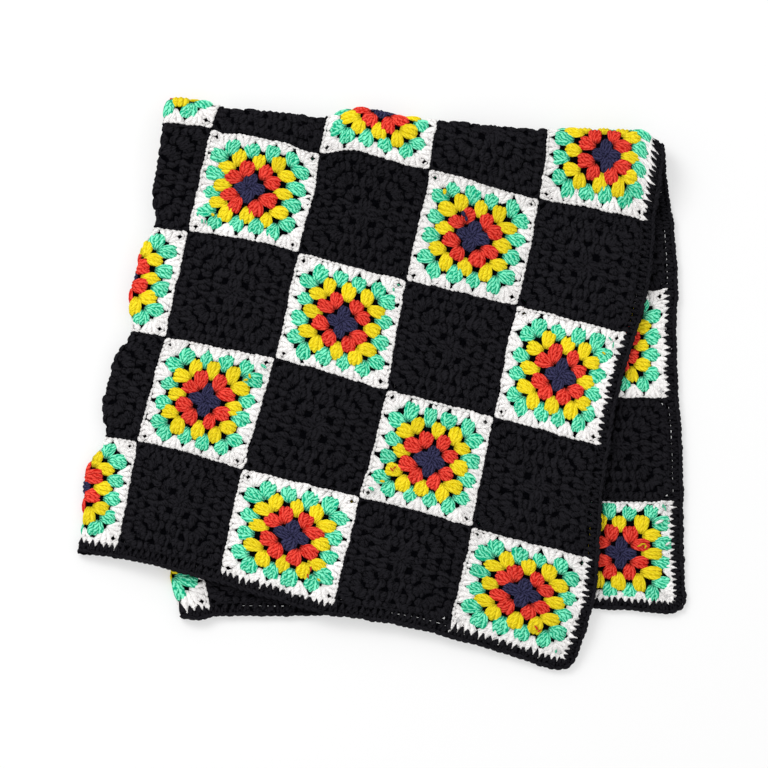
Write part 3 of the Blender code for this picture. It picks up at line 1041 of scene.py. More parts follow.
@dataclass(frozen=True)
class StitchShapes:
    """The stitch shapes. Each is one unit long and wide, and is scaled where it is worked.

    A cluster's yarn map starts at its root, which is shaded, and a single strand's past it.
    """

    puff: tuple[PostRow, ...] = (
        PostRow(0.00, 0.13, 0.105, 0.26, -0.08),
        PostRow(0.18, 0.22, 0.165, 0.40, 0.06),
        PostRow(0.48, 0.29, 0.205, 0.46, 0.18),
        PostRow(0.78, 0.31, 0.205, 0.43, 0.15),
        PostRow(0.97, 0.28, 0.150, 0.30, 0.00),
    )
    fan: tuple[PostRow, ...] = (
        PostRow(0.00, 0.085, 0.095, 0.26, -0.10),
        PostRow(0.27, 0.155, 0.135, 0.37, 0.04),
        PostRow(0.56, 0.245, 0.170, 0.40, 0.09),
        PostRow(0.80, 0.325, 0.195, 0.37, 0.07),
        PostRow(1.00, 0.342, 0.185, 0.30, 0.00),
    )
    lobe: tuple[PostRow, ...] = (
        PostRow(0.00, 0.26, 0.200, 0.40, 0.02),
        PostRow(0.30, 0.31, 0.210, 0.44, 0.12),
        PostRow(0.60, 0.31, 0.205, 0.43, 0.13),
        PostRow(0.84, 0.26, 0.175, 0.36, 0.06),
        PostRow(1.00, 0.18, 0.125, 0.24, -0.05),
    )
    block: tuple[PostRow, ...] = (
        PostRow(0.00, 0.300, 0.185, 0.34, -0.04),
        PostRow(0.20, 0.335, 0.200, 0.44, 0.06),
        PostRow(0.52, 0.335, 0.195, 0.46, 0.09),
        PostRow(0.72, 0.268, 0.152, 0.42, 0.06),
        PostRow(1.00, 0.240, 0.140, 0.30, -0.04),
    )
    link: tuple[ThickRow, ...] = (
        ThickRow(-0.46, 0.34), ThickRow(-0.20, 0.92), ThickRow(0.12, 1.0), ThickRow(0.42, 0.50))
    plain_link: tuple[ThickRow, ...] = (ThickRow(-0.42, 0.50), ThickRow(0.34, 0.80))
    post: tuple[ThickRow, ...] = (
        ThickRow(0.0, 0.55), ThickRow(0.3, 1.0), ThickRow(0.7, 1.0), ThickRow(1.0, 0.55))
    spike: tuple[ThickRow, ...] = (
        ThickRow(0.0, 1.0), ThickRow(0.35, 0.80), ThickRow(0.7, 0.42), ThickRow(0.97, 0.10))
    sides: int = 5
    plain_sides: int = 4
    middle_lift: float = 0.07
    recess: float = 0.15
    wraps: float = 2.2
    strand_wraps: float = 1.0
    post_wraps: float = 1.5
    past_root: float = 1.0

    def cluster(self, rows: Sequence[PostRow], sides: int, recess: float = 0.0) -> StrandMesh:
        """Make three posts side by side.

        Args:
            rows: The places up them.
            sides: How many sides each has.
            recess: How much later the middle one starts.

        Returns:
            The posts.
        """
        strands = StrandMesh()
        for post in (-1, 0, 1):
            lift = self.middle_lift if post == 0 else 0.0
            late = recess if post == 0 else 0.0
            rings = [Ring(late + row.y * (1.0 - late), post * row.spread, row.lift + lift,
                          row.wide, row.high) for row in rows]
            strands.add(rings, sides, self.wraps * (1 if post >= 0 else -1))
        return strands

    def strand(self, rows: Sequence[ThickRow], sides: int, wraps: float) -> StrandMesh:
        """Make one strand that is half a unit wide on each side at its thickest.

        Args:
            rows: The places along it.
            sides: How many sides it has.
            wraps: How many wraps of yarn show along it.

        Returns:
            The strand.
        """
        strands = StrandMesh()
        rings = [Ring(row.y, 0.0, 0.0, 0.5 * row.thick, 0.5 * row.thick) for row in rows]
        strands.add(rings, sides, wraps, self.past_root)
        return strands

    def collection(self) -> bpy.types.Collection:
        """Make every shape.

        Returns:
            The shapes, in a collection whose order is the order of Stitch.
        """
        shapes: dict[Stitch, StrandMesh] = {}
        clusters = ((Stitch.PUFF, self.puff, 0.0), (Stitch.FAN, self.fan, 0.0),
                    (Stitch.LOBE, self.lobe, 0.0), (Stitch.BLOCK, self.block, self.recess))
        for stitch, rows, recess in clusters:
            shapes[stitch] = self.cluster(rows, self.sides, recess)
            shapes[Stitch(stitch + 1)] = self.cluster(rows[::2], self.plain_sides)
        shapes[Stitch.LINK] = self.strand(self.link, self.sides, self.strand_wraps)
        shapes[Stitch.LINK_PLAIN] = self.strand(self.plain_link, self.plain_sides, self.strand_wraps)
        shapes[Stitch.POST] = self.strand(self.post, self.sides, self.post_wraps)
        shapes[Stitch.SPIKE] = self.strand(self.spike, self.sides, self.strand_wraps)
        gathered = bpy.data.collections.new("stitch_shapes")
        for stitch, strands in shapes.items():
            name = f"stitch_{int(stitch):02d}"
            gathered.objects.link(bpy.data.objects.new(name, strands.mesh(name)))
        bpy.context.scene.collection.children.link(gathered)
        return gathered


@dataclass
class Chart:
    """Where stitches of one yarn are worked on the flat chart."""

    places: list[np.ndarray] = field(default_factory=list)
    turns: list[np.ndarray] = field(default_factory=list)
    sizes: list[np.ndarray] = field(default_factory=list)
    tones: list[np.ndarray] = field(default_factory=list)
    kinds: list[np.ndarray] = field(default_factory=list)

    def add(self, places: np.ndarray, turns: np.ndarray, sizes: np.ndarray, tones: np.ndarray,
            kinds: np.ndarray) -> None:
        """Add stitches.

        Args:
            places: Where each starts, a row of three numbers each.
            turns: How far each is turned from pointing up the chart.
            sizes: Width, length and height of each.
            tones: How light each is, from 0 to 1.
            kinds: The Stitch of each.
        """
        self.places.append(places)
        self.turns.append(turns)
        self.sizes.append(sizes)
        self.tones.append(tones)
        self.kinds.append(kinds)

    def points(self, name: str) -> bpy.types.Object:
        """Make the points that the stitches are put on.

        Args:
            name: The points' name.

        Returns:
            The points, each with its stitch's turn, size, tone and kind.
        """
        data = bpy.data.meshes.new(name)
        places = np.concatenate(self.places)
        data.vertices.add(len(places))
        data.vertices.foreach_set("co", places.astype(np.float32).ravel())
        layers = (("turn", "FLOAT", self.turns, "value"), ("size", "FLOAT_VECTOR", self.sizes, "vector"),
                  ("tone", "FLOAT", self.tones, "value"), ("kind", "INT", self.kinds, "value"))
        for label, kind, rows, key in layers:
            values = np.concatenate(rows).astype(np.int32 if kind == "INT" else np.float32)
            data.attributes.new(label, kind, "POINT").data.foreach_set(key, values.ravel())
        return in_scene(name, data)


class StitchTree(NodeTree):
    """The Geometry Nodes tree that works a chart's stitches."""

    INPUTS = (("Chart", "Geometry"), ("Stitches", "Collection"), ("Yarn", "Material"),
              ("Looseness", "Float"), ("Seed", "Int"))

    def __init__(self) -> None:
        """Build the tree, with named inputs."""
        super().__init__(bpy.data.node_groups.new("work_stitches", "GeometryNodeTree"))
        self.keys: dict[str, str] = {}
        for name, kind in self.INPUTS:
            socket = self.tree.interface.new_socket(name, in_out="INPUT", socket_type="NodeSocket" + kind)
            self.keys[name] = socket.identifier
        self.tree.interface.new_socket("Crochet", in_out="OUTPUT", socket_type="NodeSocketGeometry")
        given = self.node("NodeGroupInput").outputs
        shapes = self.node("GeometryNodeCollectionInfo", None, {
            "Collection": given["Stitches"], "Separate Children": True, "Reset Children": True})
        lean = self.node("FunctionNodeRandomValue", {"data_type": "FLOAT_VECTOR"}, {
            "Min": (-1.0, -1.0, -1.0), "Max": (1.0, 1.0, 1.0), "Seed": given["Seed"]})
        loose = self.node("ShaderNodeVectorMath", {"operation": "SCALE"}, {
            0: lean.outputs["Value"], "Scale": given["Looseness"]})
        turn = self.node("ShaderNodeCombineXYZ", None, {"Z": self._named("turn", "FLOAT")})
        turned = self.node("ShaderNodeVectorMath", {"operation": "ADD"}, {
            0: turn.outputs[0], 1: loose.outputs[0]})
        stitched = self.node("GeometryNodeInstanceOnPoints", None, {
            "Points": given["Chart"], "Instance": shapes.outputs[0], "Pick Instance": True,
            "Instance Index": self._named("kind", "INT"), "Rotation": turned.outputs[0],
            "Scale": self._named("size", "FLOAT_VECTOR")})
        real = self.node("GeometryNodeRealizeInstances", None, {"Geometry": stitched.outputs[0]})
        dyed = self.node("GeometryNodeSetMaterial", None, {
            "Geometry": real.outputs[0], "Material": given["Yarn"]})
        self.node("NodeGroupOutput", None, {0: dyed.outputs[0]})

    def _named(self, name: str, kind: str) -> bpy.types.NodeSocket:
        """The socket of a named attribute of the chart's points."""
        node = self.node("GeometryNodeInputNamedAttribute", {"data_type": kind}, {"Name": name})
        return node.outputs["Attribute"]

    def worked(self, name: str, chart: Chart, shapes: bpy.types.Collection, yarn: bpy.types.Material,
               looseness: float, seed: int) -> bpy.types.Mesh:
        """Work a chart into a plain mesh, still flat.

        Args:
            name: The mesh's name.
            chart: The stitches.
            shapes: The collection of stitch shapes.
            yarn: The yarn's material.
            looseness: How far stitches lean at random, in radians.
            seed: The seed of that randomness.

        Returns:
            The mesh.
        """
        points = chart.points(name + "_chart")
        modifier = points.modifiers.new("stitches", "NODES")
        modifier.node_group = self.tree
        inputs = {"Stitches": shapes, "Yarn": yarn, "Looseness": looseness, "Seed": seed}
        for key, value in inputs.items():
            modifier[self.keys[key]] = value
        graph = bpy.context.evaluated_depsgraph_get()
        mesh = bpy.data.meshes.new_from_object(points.evaluated_get(graph), depsgraph=graph)
        mesh.name = name
        points.modifiers.clear()
        data = points.data
        bpy.data.objects.remove(points)
        bpy.data.meshes.remove(data)
        return mesh


# -------------------------------------------------------------------------------- the crochet


CORNERS = np.array([(1, 1), (-1, 1), (-1, -1), (1, -1)])


def middle_of(column: int, row: int) -> np.ndarray:
    """The middle of a square on the chart."""
    return np.array([-(column + 0.5) * SQUARE, (row + 0.5) * SQUARE])


def facing(angle: float) -> tuple[np.ndarray, np.ndarray]:
    """The direction at an angle on the chart, and the direction to its left."""
    outward = np.array([math.cos(angle), math.sin(angle)])
    return outward, np.array([-outward[1], outward[0]])


def lifted(spots: np.ndarray, lift: float) -> np.ndarray:
    """Places on the chart, all at one height."""
    return np.column_stack([spots, np.full(len(spots), lift)])


@dataclass(frozen=True)
class Hand:
    """The hand that works a square: its unevenness, its yarn's tone, and the folds, which hide work."""

    rng: np.random.Generator
    lay: FoldedLay
    tone: float

    def shown(self, spots: np.ndarray) -> np.ndarray:
        """Whether the work at each place shows."""
        return self.lay.shows(-spots[:, 0], spots[:, 1])

    def kinds(self, spots: np.ndarray, stitch: Stitch) -> np.ndarray:
        """The kind of each stitch, which is the plain one after it where the work doesn't show."""
        return np.where(self.shown(spots), int(stitch), int(stitch) + 1)

    def tones(self, spread: float, count: int) -> np.ndarray:
        """How light each stitch is."""
        return np.clip(self.tone + self.rng.normal(0.0, spread, count), 0.0, 1.0)


@dataclass(frozen=True)
class Round:
    """A round of a square: its yarn, where its clusters start and end, and their width and height.

    A corner cluster's end leans towards the corner, and it keeps a share of its width.
    """

    shade: Shade
    start: float
    end: float
    width: float
    height: float
    lean: float = 0.0
    stitch: Stitch = Stitch.PUFF
    corner_width: float = 1.0


@dataclass(frozen=True)
class Stray:
    """How a square's middle was worked: its turn, how far right and up it sits, and its gauge."""

    column: int
    row: int
    turn: float
    right: float
    up: float
    gauge: float = 1.0


@dataclass(frozen=True)
class YarnEnd:
    """An end of yarn woven in, by its square and its place, length, width and turn there."""

    shade: Shade
    column: int
    row: int
    right: float
    up: float
    length: float
    width: float
    turn: float


@dataclass
class GrannySquares:
    """The eighty-one squares: five rounds of clusters each, and a row of chain round them."""

    rounds: tuple[Round, ...] = (
        Round(Shade.NAVY, 0.0008, 0.0178, 0.0142, 0.0050, 0.0, Stitch.LOBE),
        Round(Shade.RED, 0.0112, 0.0302, 0.0162, 0.0052, 0.0003),
        Round(Shade.YELLOW, 0.0226, 0.0423, 0.0156, 0.0052, 0.0005),
        Round(Shade.GREEN, 0.0338, 0.0530, 0.0165, 0.0052, 0.0010),
        Round(Shade.WHITE, 0.0440, 0.0586, 0.0212, 0.0046, 0.0004, Stitch.FAN, 0.86),
    )
    black_rounds: tuple[Round, ...] = (
        Round(Shade.BLACK, 0.0008, 0.0150, 0.0156, 0.0048, 0.0, Stitch.LOBE),
        Round(Shade.BLACK, 0.0127, 0.0244, 0.0214, 0.0048, 0.0010, Stitch.BLOCK),
        Round(Shade.BLACK, 0.0237, 0.0374, 0.0214, 0.0048, 0.0025, Stitch.BLOCK),
        Round(Shade.BLACK, 0.0367, 0.0489, 0.0214, 0.0048, 0.0025, Stitch.BLOCK),
        Round(Shade.BLACK, 0.0482, 0.0590, 0.0212, 0.0044, 0.0016, Stitch.BLOCK),
    )
    corner_fill: Round = Round(Shade.BLACK, 0.0122, 0.0198, 0.0130, 0.0046)
    corner_fill_step: float = 0.0110
    strays: tuple[Stray, ...] = (
        Stray(0, 0, -0.02, -0.0013, 0.0004), Stray(2, 0, -0.06, 0.0031, 0.0004),
        Stray(1, 1, -0.05, 0.0024, -0.0018), Stray(3, 1, 0.00, 0.0008, 0.0019),
        Stray(0, 2, -0.02, 0.0045, -0.0003), Stray(2, 2, -0.07, 0.0011, -0.0032),
        Stray(1, 3, -0.06, -0.0019, 0.0010), Stray(3, 3, 0.00, -0.0084, -0.0009),
        Stray(0, 4, 0.03, 0.0078, -0.0030), Stray(8, 8, -0.09, -0.0018, 0.0018, 1.09),
    )
    ends: tuple[YarnEnd, ...] = (
        YarnEnd(Shade.GREEN, 3, 1, 0.0518, 0.0476, 0.0070, 0.0032, 1.2),
        YarnEnd(Shade.YELLOW, 3, 1, 0.0400, 0.0352, 0.0046, 0.0026, 0.5),
        YarnEnd(Shade.YELLOW, 3, 1, 0.0374, 0.0304, 0.0042, 0.0026, 1.9),
        YarnEnd(Shade.YELLOW, 1, 3, -0.0402, 0.0398, 0.0056, 0.0042, 0.2),
        YarnEnd(Shade.NAVY, 1, 3, -0.0166, 0.0212, 0.0062, 0.0048, 0.7),
        YarnEnd(Shade.NAVY, 1, 3, -0.0122, 0.0165, 0.0052, 0.0034, 0.3),
        YarnEnd(Shade.GREEN, 3, 3, -0.0474, -0.0462, 0.0060, 0.0022, 0.1),
        YarnEnd(Shade.GREEN, 3, 3, -0.0440, -0.0458, 0.0050, 0.0022, 0.3),
        YarnEnd(Shade.YELLOW, 3, 3, -0.0378, -0.0370, 0.0040, 0.0028, 1.0),
        YarnEnd(Shade.GREEN, 1, 1, -0.0502, -0.0490, 0.0056, 0.0034, 1.3),
        YarnEnd(Shade.YELLOW, 1, 1, -0.0414, -0.0384, 0.0050, 0.0032, 1.7),
        YarnEnd(Shade.RED, 1, 1, -0.0345, -0.0232, 0.0048, 0.0018, 1.0),
        YarnEnd(Shade.RED, 1, 1, -0.0322, -0.0204, 0.0040, 0.0016, -0.5),
        YarnEnd(Shade.GREEN, 2, 2, 0.0490, 0.0456, 0.0034, 0.0022, 0.4),
        YarnEnd(Shade.GREEN, 2, 2, 0.0528, 0.0516, 0.0030, 0.0016, 1.4),
        YarnEnd(Shade.GREEN, 0, 2, 0.0458, 0.0496, 0.0058, 0.0018, 1.0),
        YarnEnd(Shade.GREEN, 0, 2, 0.0514, 0.0440, 0.0060, 0.0018, 0.2),
        YarnEnd(Shade.YELLOW, 0, 2, 0.0446, 0.0330, 0.0040, 0.0020, 1.2),
        YarnEnd(Shade.RED, 2, 0, 0.0292, -0.0296, 0.0050, 0.0022, 0.2),
        YarnEnd(Shade.RED, 2, 0, 0.0284, -0.0372, 0.0046, 0.0020, 0.5),
        YarnEnd(Shade.YELLOW, 2, 0, 0.0402, -0.0386, 0.0034, 0.0024, 1.0),
        YarnEnd(Shade.RED, 0, 0, 0.0200, -0.0352, 0.0052, 0.0020, 0.9),
        YarnEnd(Shade.RED, 0, 0, 0.0240, -0.0370, 0.0044, 0.0018, -0.6),
        YarnEnd(Shade.GREEN, 0, 0, 0.0486, -0.0518, 0.0040, 0.0024, 0.2),
        YarnEnd(Shade.GREEN, 8, 8, -0.0514, -0.0505, 0.0066, 0.0018, 0.2),
        YarnEnd(Shade.GREEN, 8, 8, -0.0494, -0.0532, 0.0050, 0.0018, 0.0),
        YarnEnd(Shade.WHITE, 8, 8, -0.0452, -0.0345, 0.0092, 0.0034, -1.3),
        YarnEnd(Shade.WHITE, 8, 8, -0.0544, -0.0095, 0.0064, 0.0026, -1.0),
        YarnEnd(Shade.YELLOW, 8, 8, -0.0240, -0.0064, 0.0060, 0.0018, -1.1),
        YarnEnd(Shade.YELLOW, 8, 8, -0.0278, -0.0088, 0.0056, 0.0018, -1.5),
        YarnEnd(Shade.YELLOW, 8, 8, -0.0304, -0.0056, 0.0044, 0.0018, -0.4),
    )
    end_lift: float = 0.0058
    end_tone: float = 0.9
    step: float = 0.0105
    splay: float = 0.07
    tip_splay: float = 0.6
    corner_gap: float = 0.0016
    drift: float = 0.0008
    rim_drift: float = 0.0004
    square_drift: float = 0.0012
    square_turn: float = 0.055
    square_tones: tuple[float, float] = (0.25, 0.75)
    cluster_widths: tuple[float, float] = (0.93, 1.07)
    cluster_heights: tuple[float, float] = (0.94, 1.06)
    cluster_tones: float = 0.16
    hidden_height: float = 0.0040
    links_per_side: int = 23
    link_at: float = 0.0584
    inner_link_at: float = 0.0562
    link_lift: float = 0.0008
    link_size: Lengths = (0.0034, 0.0064, 0.0036)
    link_sizes: tuple[float, float] = (0.92, 1.08)
    link_tones: float = 0.15
    link_drift: float = 0.00035
    space_at: float = 0.0526
    space_radius: float = 0.0031
    space_lift: float = 0.0011
    space_size: Lengths = (0.0030, 0.0064, 0.0036)
    corner_link_at: float = 0.0569
    corner_link_lift: float = 0.0007
    corner_link_size: Lengths = (0.0048, 0.0096, 0.0036)
    corner_post_at: float = 0.0468
    corner_post_size: Lengths = (0.0054, 0.0096, 0.0044)
    seed: int = 11

    def is_black(self, column: int, row: int) -> bool:
        """Whether a square of the checkerboard is black."""
        return (column + row) % 2 == 1

    def clusters(self, hand: Hand, column: int, row: int) -> Iterable[tuple[Round, np.ndarray]]:
        """The clusters of a square.

        Args:
            hand: The hand that works it.
            column: The square's column, counted from the cloth's right edge.
            row: Its row, counted from the bottom.

        Yields:
            Each round, with a row for each of its clusters: start x and y, and end x and y.
        """
        turn = hand.rng.normal(0.0, self.square_turn)
        shift = hand.rng.normal(0.0, self.square_drift, 2)
        gauge = 1.0
        for stray in self.strays:
            if (stray.column, stray.row) == (column, row):
                turn, shift, gauge = stray.turn, np.array([stray.right, stray.up]), stray.gauge
        rounds = self.black_rounds if self.is_black(column, row) else self.rounds
        for index, worked in enumerate(rounds):
            inner = 1.0 - index / (len(rounds) - 1)
            shifted = np.tile(middle_of(column, row) + shift * inner, 2)
            ends = np.array([self._ends(worked, index, place, side * math.pi / 2 + turn * inner)
                             for side in range(4) for place in range(index + 1)])
            steady = self.rim_drift if worked.shade in (Shade.WHITE, Shade.BLACK) else self.drift
            gauges = gauge if worked.shade != Shade.WHITE else np.array([gauge, gauge, 1.0, 1.0])
            yield worked, ends * gauges + shifted + hand.rng.normal(0.0, steady, ends.shape)
            if worked.shade == Shade.BLACK and 0 < index < len(rounds) - 1:
                start = self.corner_fill.start + self.corner_fill_step * index
                end = self.corner_fill.end + self.corner_fill_step * index
                fills = np.hstack([CORNERS * start, CORNERS * end])
                yield self.corner_fill, fills + shifted + hand.rng.normal(0.0, steady, fills.shape)

    def _ends(self, worked: Round, index: int, place: int, angle: float) -> np.ndarray:
        """Find where a cluster starts and ends, seen from its square's middle.

        Args:
            worked: The cluster's round.
            index: That round's number.
            place: The cluster's number on its side.
            angle: The way that side faces.

        Returns:
            Start x and y, and end x and y.
        """
        outward, across = facing(angle)
        block = worked.stitch == Stitch.BLOCK
        splay = 0.0 if block else self.splay
        along = self.step * (2 * place - index)
        base, tip = along * (1.0 - splay), along * (1.0 + splay * self.tip_splay)
        if index and place in (0, index):
            base = along if block else math.copysign(worked.start - self.corner_gap, along)
            tip = along + math.copysign(worked.lean, along)
        start, end = outward * worked.start + across * base, outward * worked.end + across * tip
        return np.concatenate([start, end])

    def chart(self, charts: dict[str, Chart], lay: FoldedLay) -> None:
        """Chart every square's clusters and its row of chain.

        Args:
            charts: The charts by piece name, which are added to.
            lay: The folds, which say what shows.
        """
        rng = np.random.default_rng(self.seed)
        for column, row in np.ndindex(SQUARES, SQUARES):
            black = self.is_black(column, row)
            half = "near" if row < SQUARES // 2 else "far"
            hand = Hand(rng, lay, rng.uniform(*self.square_tones))
            for worked, ends in self.clusters(hand, column, row):
                name = f"black_rounds_{half}" if black else f"{worked.shade.value.name}_rounds"
                self._add_clusters(charts.setdefault(name, Chart()), hand, worked, ends)
            name = f"black_chain_{half}" if black else "white_chain"
            self._add_chain(charts.setdefault(name, Chart()), hand, column, row)
        for end in self.ends:
            self._add_end(charts[f"{end.shade.value.name}_rounds"], end)

    def _add_end(self, chart: Chart, end: YarnEnd) -> None:
        """Chart an end of yarn that shows on top of the stitches.

        Args:
            chart: The chart of its yarn.
            end: The end.
        """
        way = np.array([-math.sin(end.turn), math.cos(end.turn)])
        start = middle_of(end.column, end.row) + (end.right, end.up) - 0.5 * end.length * way
        sizes = np.array([(end.width, end.length, end.width)])
        chart.add(lifted(start[None], self.end_lift), np.array([end.turn]), sizes,
                  np.array([self.end_tone]), np.array([int(Stitch.POST)]))

    def _add_clusters(self, chart: Chart, hand: Hand, worked: Round, ends: np.ndarray) -> None:
        """Chart one round's clusters, plainer where they don't show.

        Args:
            chart: The chart of its yarn.
            hand: The hand that works them.
            worked: The round.
            ends: Where each cluster starts and ends.
        """
        count = len(ends)
        per_side = count // 4
        corner = np.isin(np.arange(count) % per_side, (0, per_side - 1))
        way = ends[:, 2:] - ends[:, :2]
        length = np.linalg.norm(way, axis=1)
        middle = (ends[:, :2] + ends[:, 2:]) / 2
        turns = np.arctan2(way[:, 1], way[:, 0]) - math.pi / 2
        widths = worked.width * hand.rng.uniform(*self.cluster_widths, count)
        widths = widths * np.where(corner, worked.corner_width, 1.0)
        heights = np.where(hand.shown(middle), worked.height, self.hidden_height)
        heights = heights * hand.rng.uniform(*self.cluster_heights, count)
        chart.add(lifted(ends[:, :2], 0.0), turns, np.column_stack([widths, length, heights]),
                  hand.tones(self.cluster_tones, count), hand.kinds(middle, worked.stitch))

    def _add_chain(self, chart: Chart, hand: Hand, column: int, row: int) -> None:
        """Chart the row of chain round a square, further in on the sides the edging is worked on.

        Args:
            chart: The chart of its yarn.
            hand: The hand that works it.
            column: The square's column.
            row: The square's row.
        """
        middle = middle_of(column, row)
        bare = (column == 0, row == SQUARES - 1, column == SQUARES - 1, row == 0)
        count = self.links_per_side
        along = (np.arange(count) + 0.5) / count - 0.5
        for side in range(4):
            angle = side * math.pi / 2
            outward, across = facing(angle)
            reach = self.inner_link_at if bare[side] else self.link_at
            spots = middle + outward * reach + along[:, None] * across * (2 * self.link_at)
            spots = spots + hand.rng.normal(0.0, self.link_drift, spots.shape)
            sizes = np.tile(self.link_size, (count, 1)) * hand.rng.uniform(*self.link_sizes, (count, 1))
            chart.add(lifted(spots, self.link_lift), np.full(count, angle), sizes,
                      hand.tones(self.link_tones, count), hand.kinds(spots, Stitch.LINK))
        angles = np.arctan2(CORNERS[:, 1], CORNERS[:, 0])
        for reach, size, turn in ((self.corner_link_at, self.corner_link_size, 0.0),
                                  (self.corner_post_at, self.corner_post_size, -math.pi / 2)):
            spots = middle + CORNERS * reach
            self._add_links(chart, hand, spots, self.corner_link_lift, angles + turn, size)
        if not self.is_black(column, row):
            angles = np.arange(4) * math.pi / 2 + math.pi / 4
            rim = np.column_stack([np.cos(angles), np.sin(angles)])
            spots = (middle + CORNERS[:, None] * self.space_at + rim * self.space_radius).reshape(-1, 2)
            self._add_links(chart, hand, spots, self.space_lift, np.tile(angles, 4), self.space_size)

    def _add_links(self, chart: Chart, hand: Hand, spots: np.ndarray, lift: float, turns: np.ndarray,
                   size: Lengths) -> None:
        """Chart the links at the corners: the post and the loop, and those round each space.

        Args:
            chart: The chart of their yarn.
            hand: The hand that works them.
            spots: Where they are.
            lift: How high they lie.
            turns: How far each is turned.
            size: Their width, length and height.
        """
        spots = spots + hand.rng.normal(0.0, self.link_drift, spots.shape)
        count = len(spots)
        chart.add(lifted(spots, lift), turns, np.tile(size, (count, 1)), np.full(count, hand.tone),
                  hand.kinds(spots, Stitch.LINK))


@dataclass(frozen=True)
class EdgeStitches:
    """A row of stitches worked round the blanket.

    Out is how far outside the squares they start, shift where they sit in each step, lean how far
    they turn from pointing outward, and moved how far every third is moved along.
    """

    stitch: Stitch
    size: Lengths
    out: float
    shift: float
    lean: float
    lift: float
    moved: float = 0.0
    uneven: float = 1.0


@dataclass
class Edging:
    """The black edging: a stitch every few millimetres, its spikes, and a rope of chain outside.

    White teeth of the coloured squares show between the spikes.
    """

    rope: EdgeStitches = EdgeStitches(
        Stitch.LINK, (0.0056, 0.0102, 0.0052), 0.0094, 0.5, math.pi / 2 + 0.16, 0.0006)
    stitches: tuple[EdgeStitches, ...] = (
        EdgeStitches(Stitch.POST, (0.0038, 0.0092, 0.0042), -0.0004, 0.5 - 0.16, -0.20, 0.0002, 0.0008),
        EdgeStitches(Stitch.POST, (0.0038, 0.0092, 0.0042), -0.0004, 0.5 + 0.16, 0.20, 0.0002, -0.0008),
        EdgeStitches(Stitch.SPIKE, (0.0054, 0.0080, 0.0036), 0.0036, 0.5, math.pi, 0.0016, uneven=2.0),
    )
    teeth: EdgeStitches = EdgeStitches(
        Stitch.SPIKE, (0.0064, 0.0080, 0.0036), -0.0042, 0.0, 0.0, 0.0009, uneven=2.6)
    pitch: float = 0.0069
    corner_inset: float = 0.008
    drift: float = 0.00025
    turn_drift: float = 0.05
    size_drift: float = 0.1
    tones: tuple[float, float] = (0.2, 0.8)
    band: tuple[float, float] = (0.0006, 0.0086)
    band_half: float = 0.0010
    band_step: float = 0.0025
    seed: int = 23

    def ring(self, out: float, shift: float, pitch: float) -> tuple[np.ndarray, np.ndarray]:
        """Evenly spaced places round the cloth's edge, with rounded corners.

        Args:
            out: How far outside the squares they are.
            shift: By what share of a step they are moved along.
            pitch: The step between them.

        Returns:
            The places, and the outward angle at each.
        """
        inset = self.corner_inset
        straight = FIELD - 2 * inset
        base = 4 * straight + 2 * math.pi * (inset + EDGING_WIDTH / 2)
        count = int(round(base / pitch))
        travelled = (np.arange(count) + shift) / count * base
        arc = base / 4 - straight
        side = np.floor(travelled / (base / 4)).astype(int) % 4
        rest = travelled - side * (base / 4)
        turned = np.clip((rest - straight) / arc, 0.0, 1.0)
        run = np.minimum(rest, straight)
        way = side * math.pi / 2
        angle = way + turned * math.pi / 2
        half = straight / 2
        corner = np.stack([np.cos(way), np.sin(way)], axis=-1) * half
        corner += np.stack([-np.sin(way), np.cos(way)], axis=-1) * (run - half)[:, None]
        places = corner + np.stack([np.cos(angle), np.sin(angle)], axis=-1) * (inset + out)
        return places + np.array([-FIELD / 2, FIELD / 2]), angle

    def chart(self, charts: dict[str, Chart]) -> None:
        """Chart the edging's stitches and the white teeth that they bite into.

        Args:
            charts: The charts by piece name, which are added to.
        """
        rng = np.random.default_rng(self.seed)
        charts.setdefault("edging_rope", Chart()).add(*self._worked(rng, self.rope))
        for row in self.stitches:
            charts.setdefault("edging_stitches", Chart()).add(*self._worked(rng, row))
        teeth = self._worked(rng, self.teeth)
        squares = np.clip((teeth[0][:, :2] * (-1, 1) / SQUARE).astype(int), 0, SQUARES - 1)
        coloured = squares.sum(axis=1) % 2 == 0
        charts["white_chain"].add(*(part[coloured] for part in teeth))

    def _worked(self, rng: np.random.Generator, row: EdgeStitches) -> tuple[np.ndarray, ...]:
        """Work one row of stitches round the edge.

        Args:
            rng: The source of small unevenness.
            row: The row.

        Returns:
            The places, turns, sizes, tones and kinds of its stitches.
        """
        places, angle = self.ring(row.out, row.shift, self.pitch)
        count = len(places)
        third = np.arange(count) % 3 == (0 if row.moved > 0 else 2)
        along = np.stack([-np.sin(angle), np.cos(angle)], axis=-1)
        places = places + along * np.where(third, row.moved, 0.0)[:, None]
        spots = places + rng.normal(0.0, self.drift * row.uneven, places.shape)
        turns = angle - math.pi / 2 + row.lean + rng.normal(0.0, self.turn_drift * row.uneven, count)
        spread = self.size_drift * row.uneven
        sizes = np.tile(row.size, (count, 1)) * rng.uniform(1.0 - spread, 1.0 + spread, (count, 1))
        tones = rng.uniform(*self.tones, count)
        return lifted(spots, row.lift), turns, sizes, tones, np.full(count, int(row.stitch))

    def build_band(self, cloth: Cloth, material: bpy.types.Material) -> bpy.types.Object:
        """Make the close black back of the edging, one thin closed ring on the folds, in the backing's
        painted shade.

        Args:
            cloth: The folded cloth.
            material: The back's material.

        Returns:
            The piece.
        """
        near, far = self.band
        half = self.band_half
        rings = [cloth.laid(lifted(self.ring(out, 0.0, self.band_step)[0], height))
                 for out, height in ((near, half), (far, half), (far, -half), (near, -half))]
        count = len(rings[0])
        faces = []
        for row in range(4):
            low, high = row * count, (row + 1) % 4 * count
            for step in range(count):
                after = (step + 1) % count
                faces.append((low + step, high + step, high + after, low + after))
        return closed_piece("edging_band", np.vstack(rings), faces, material)


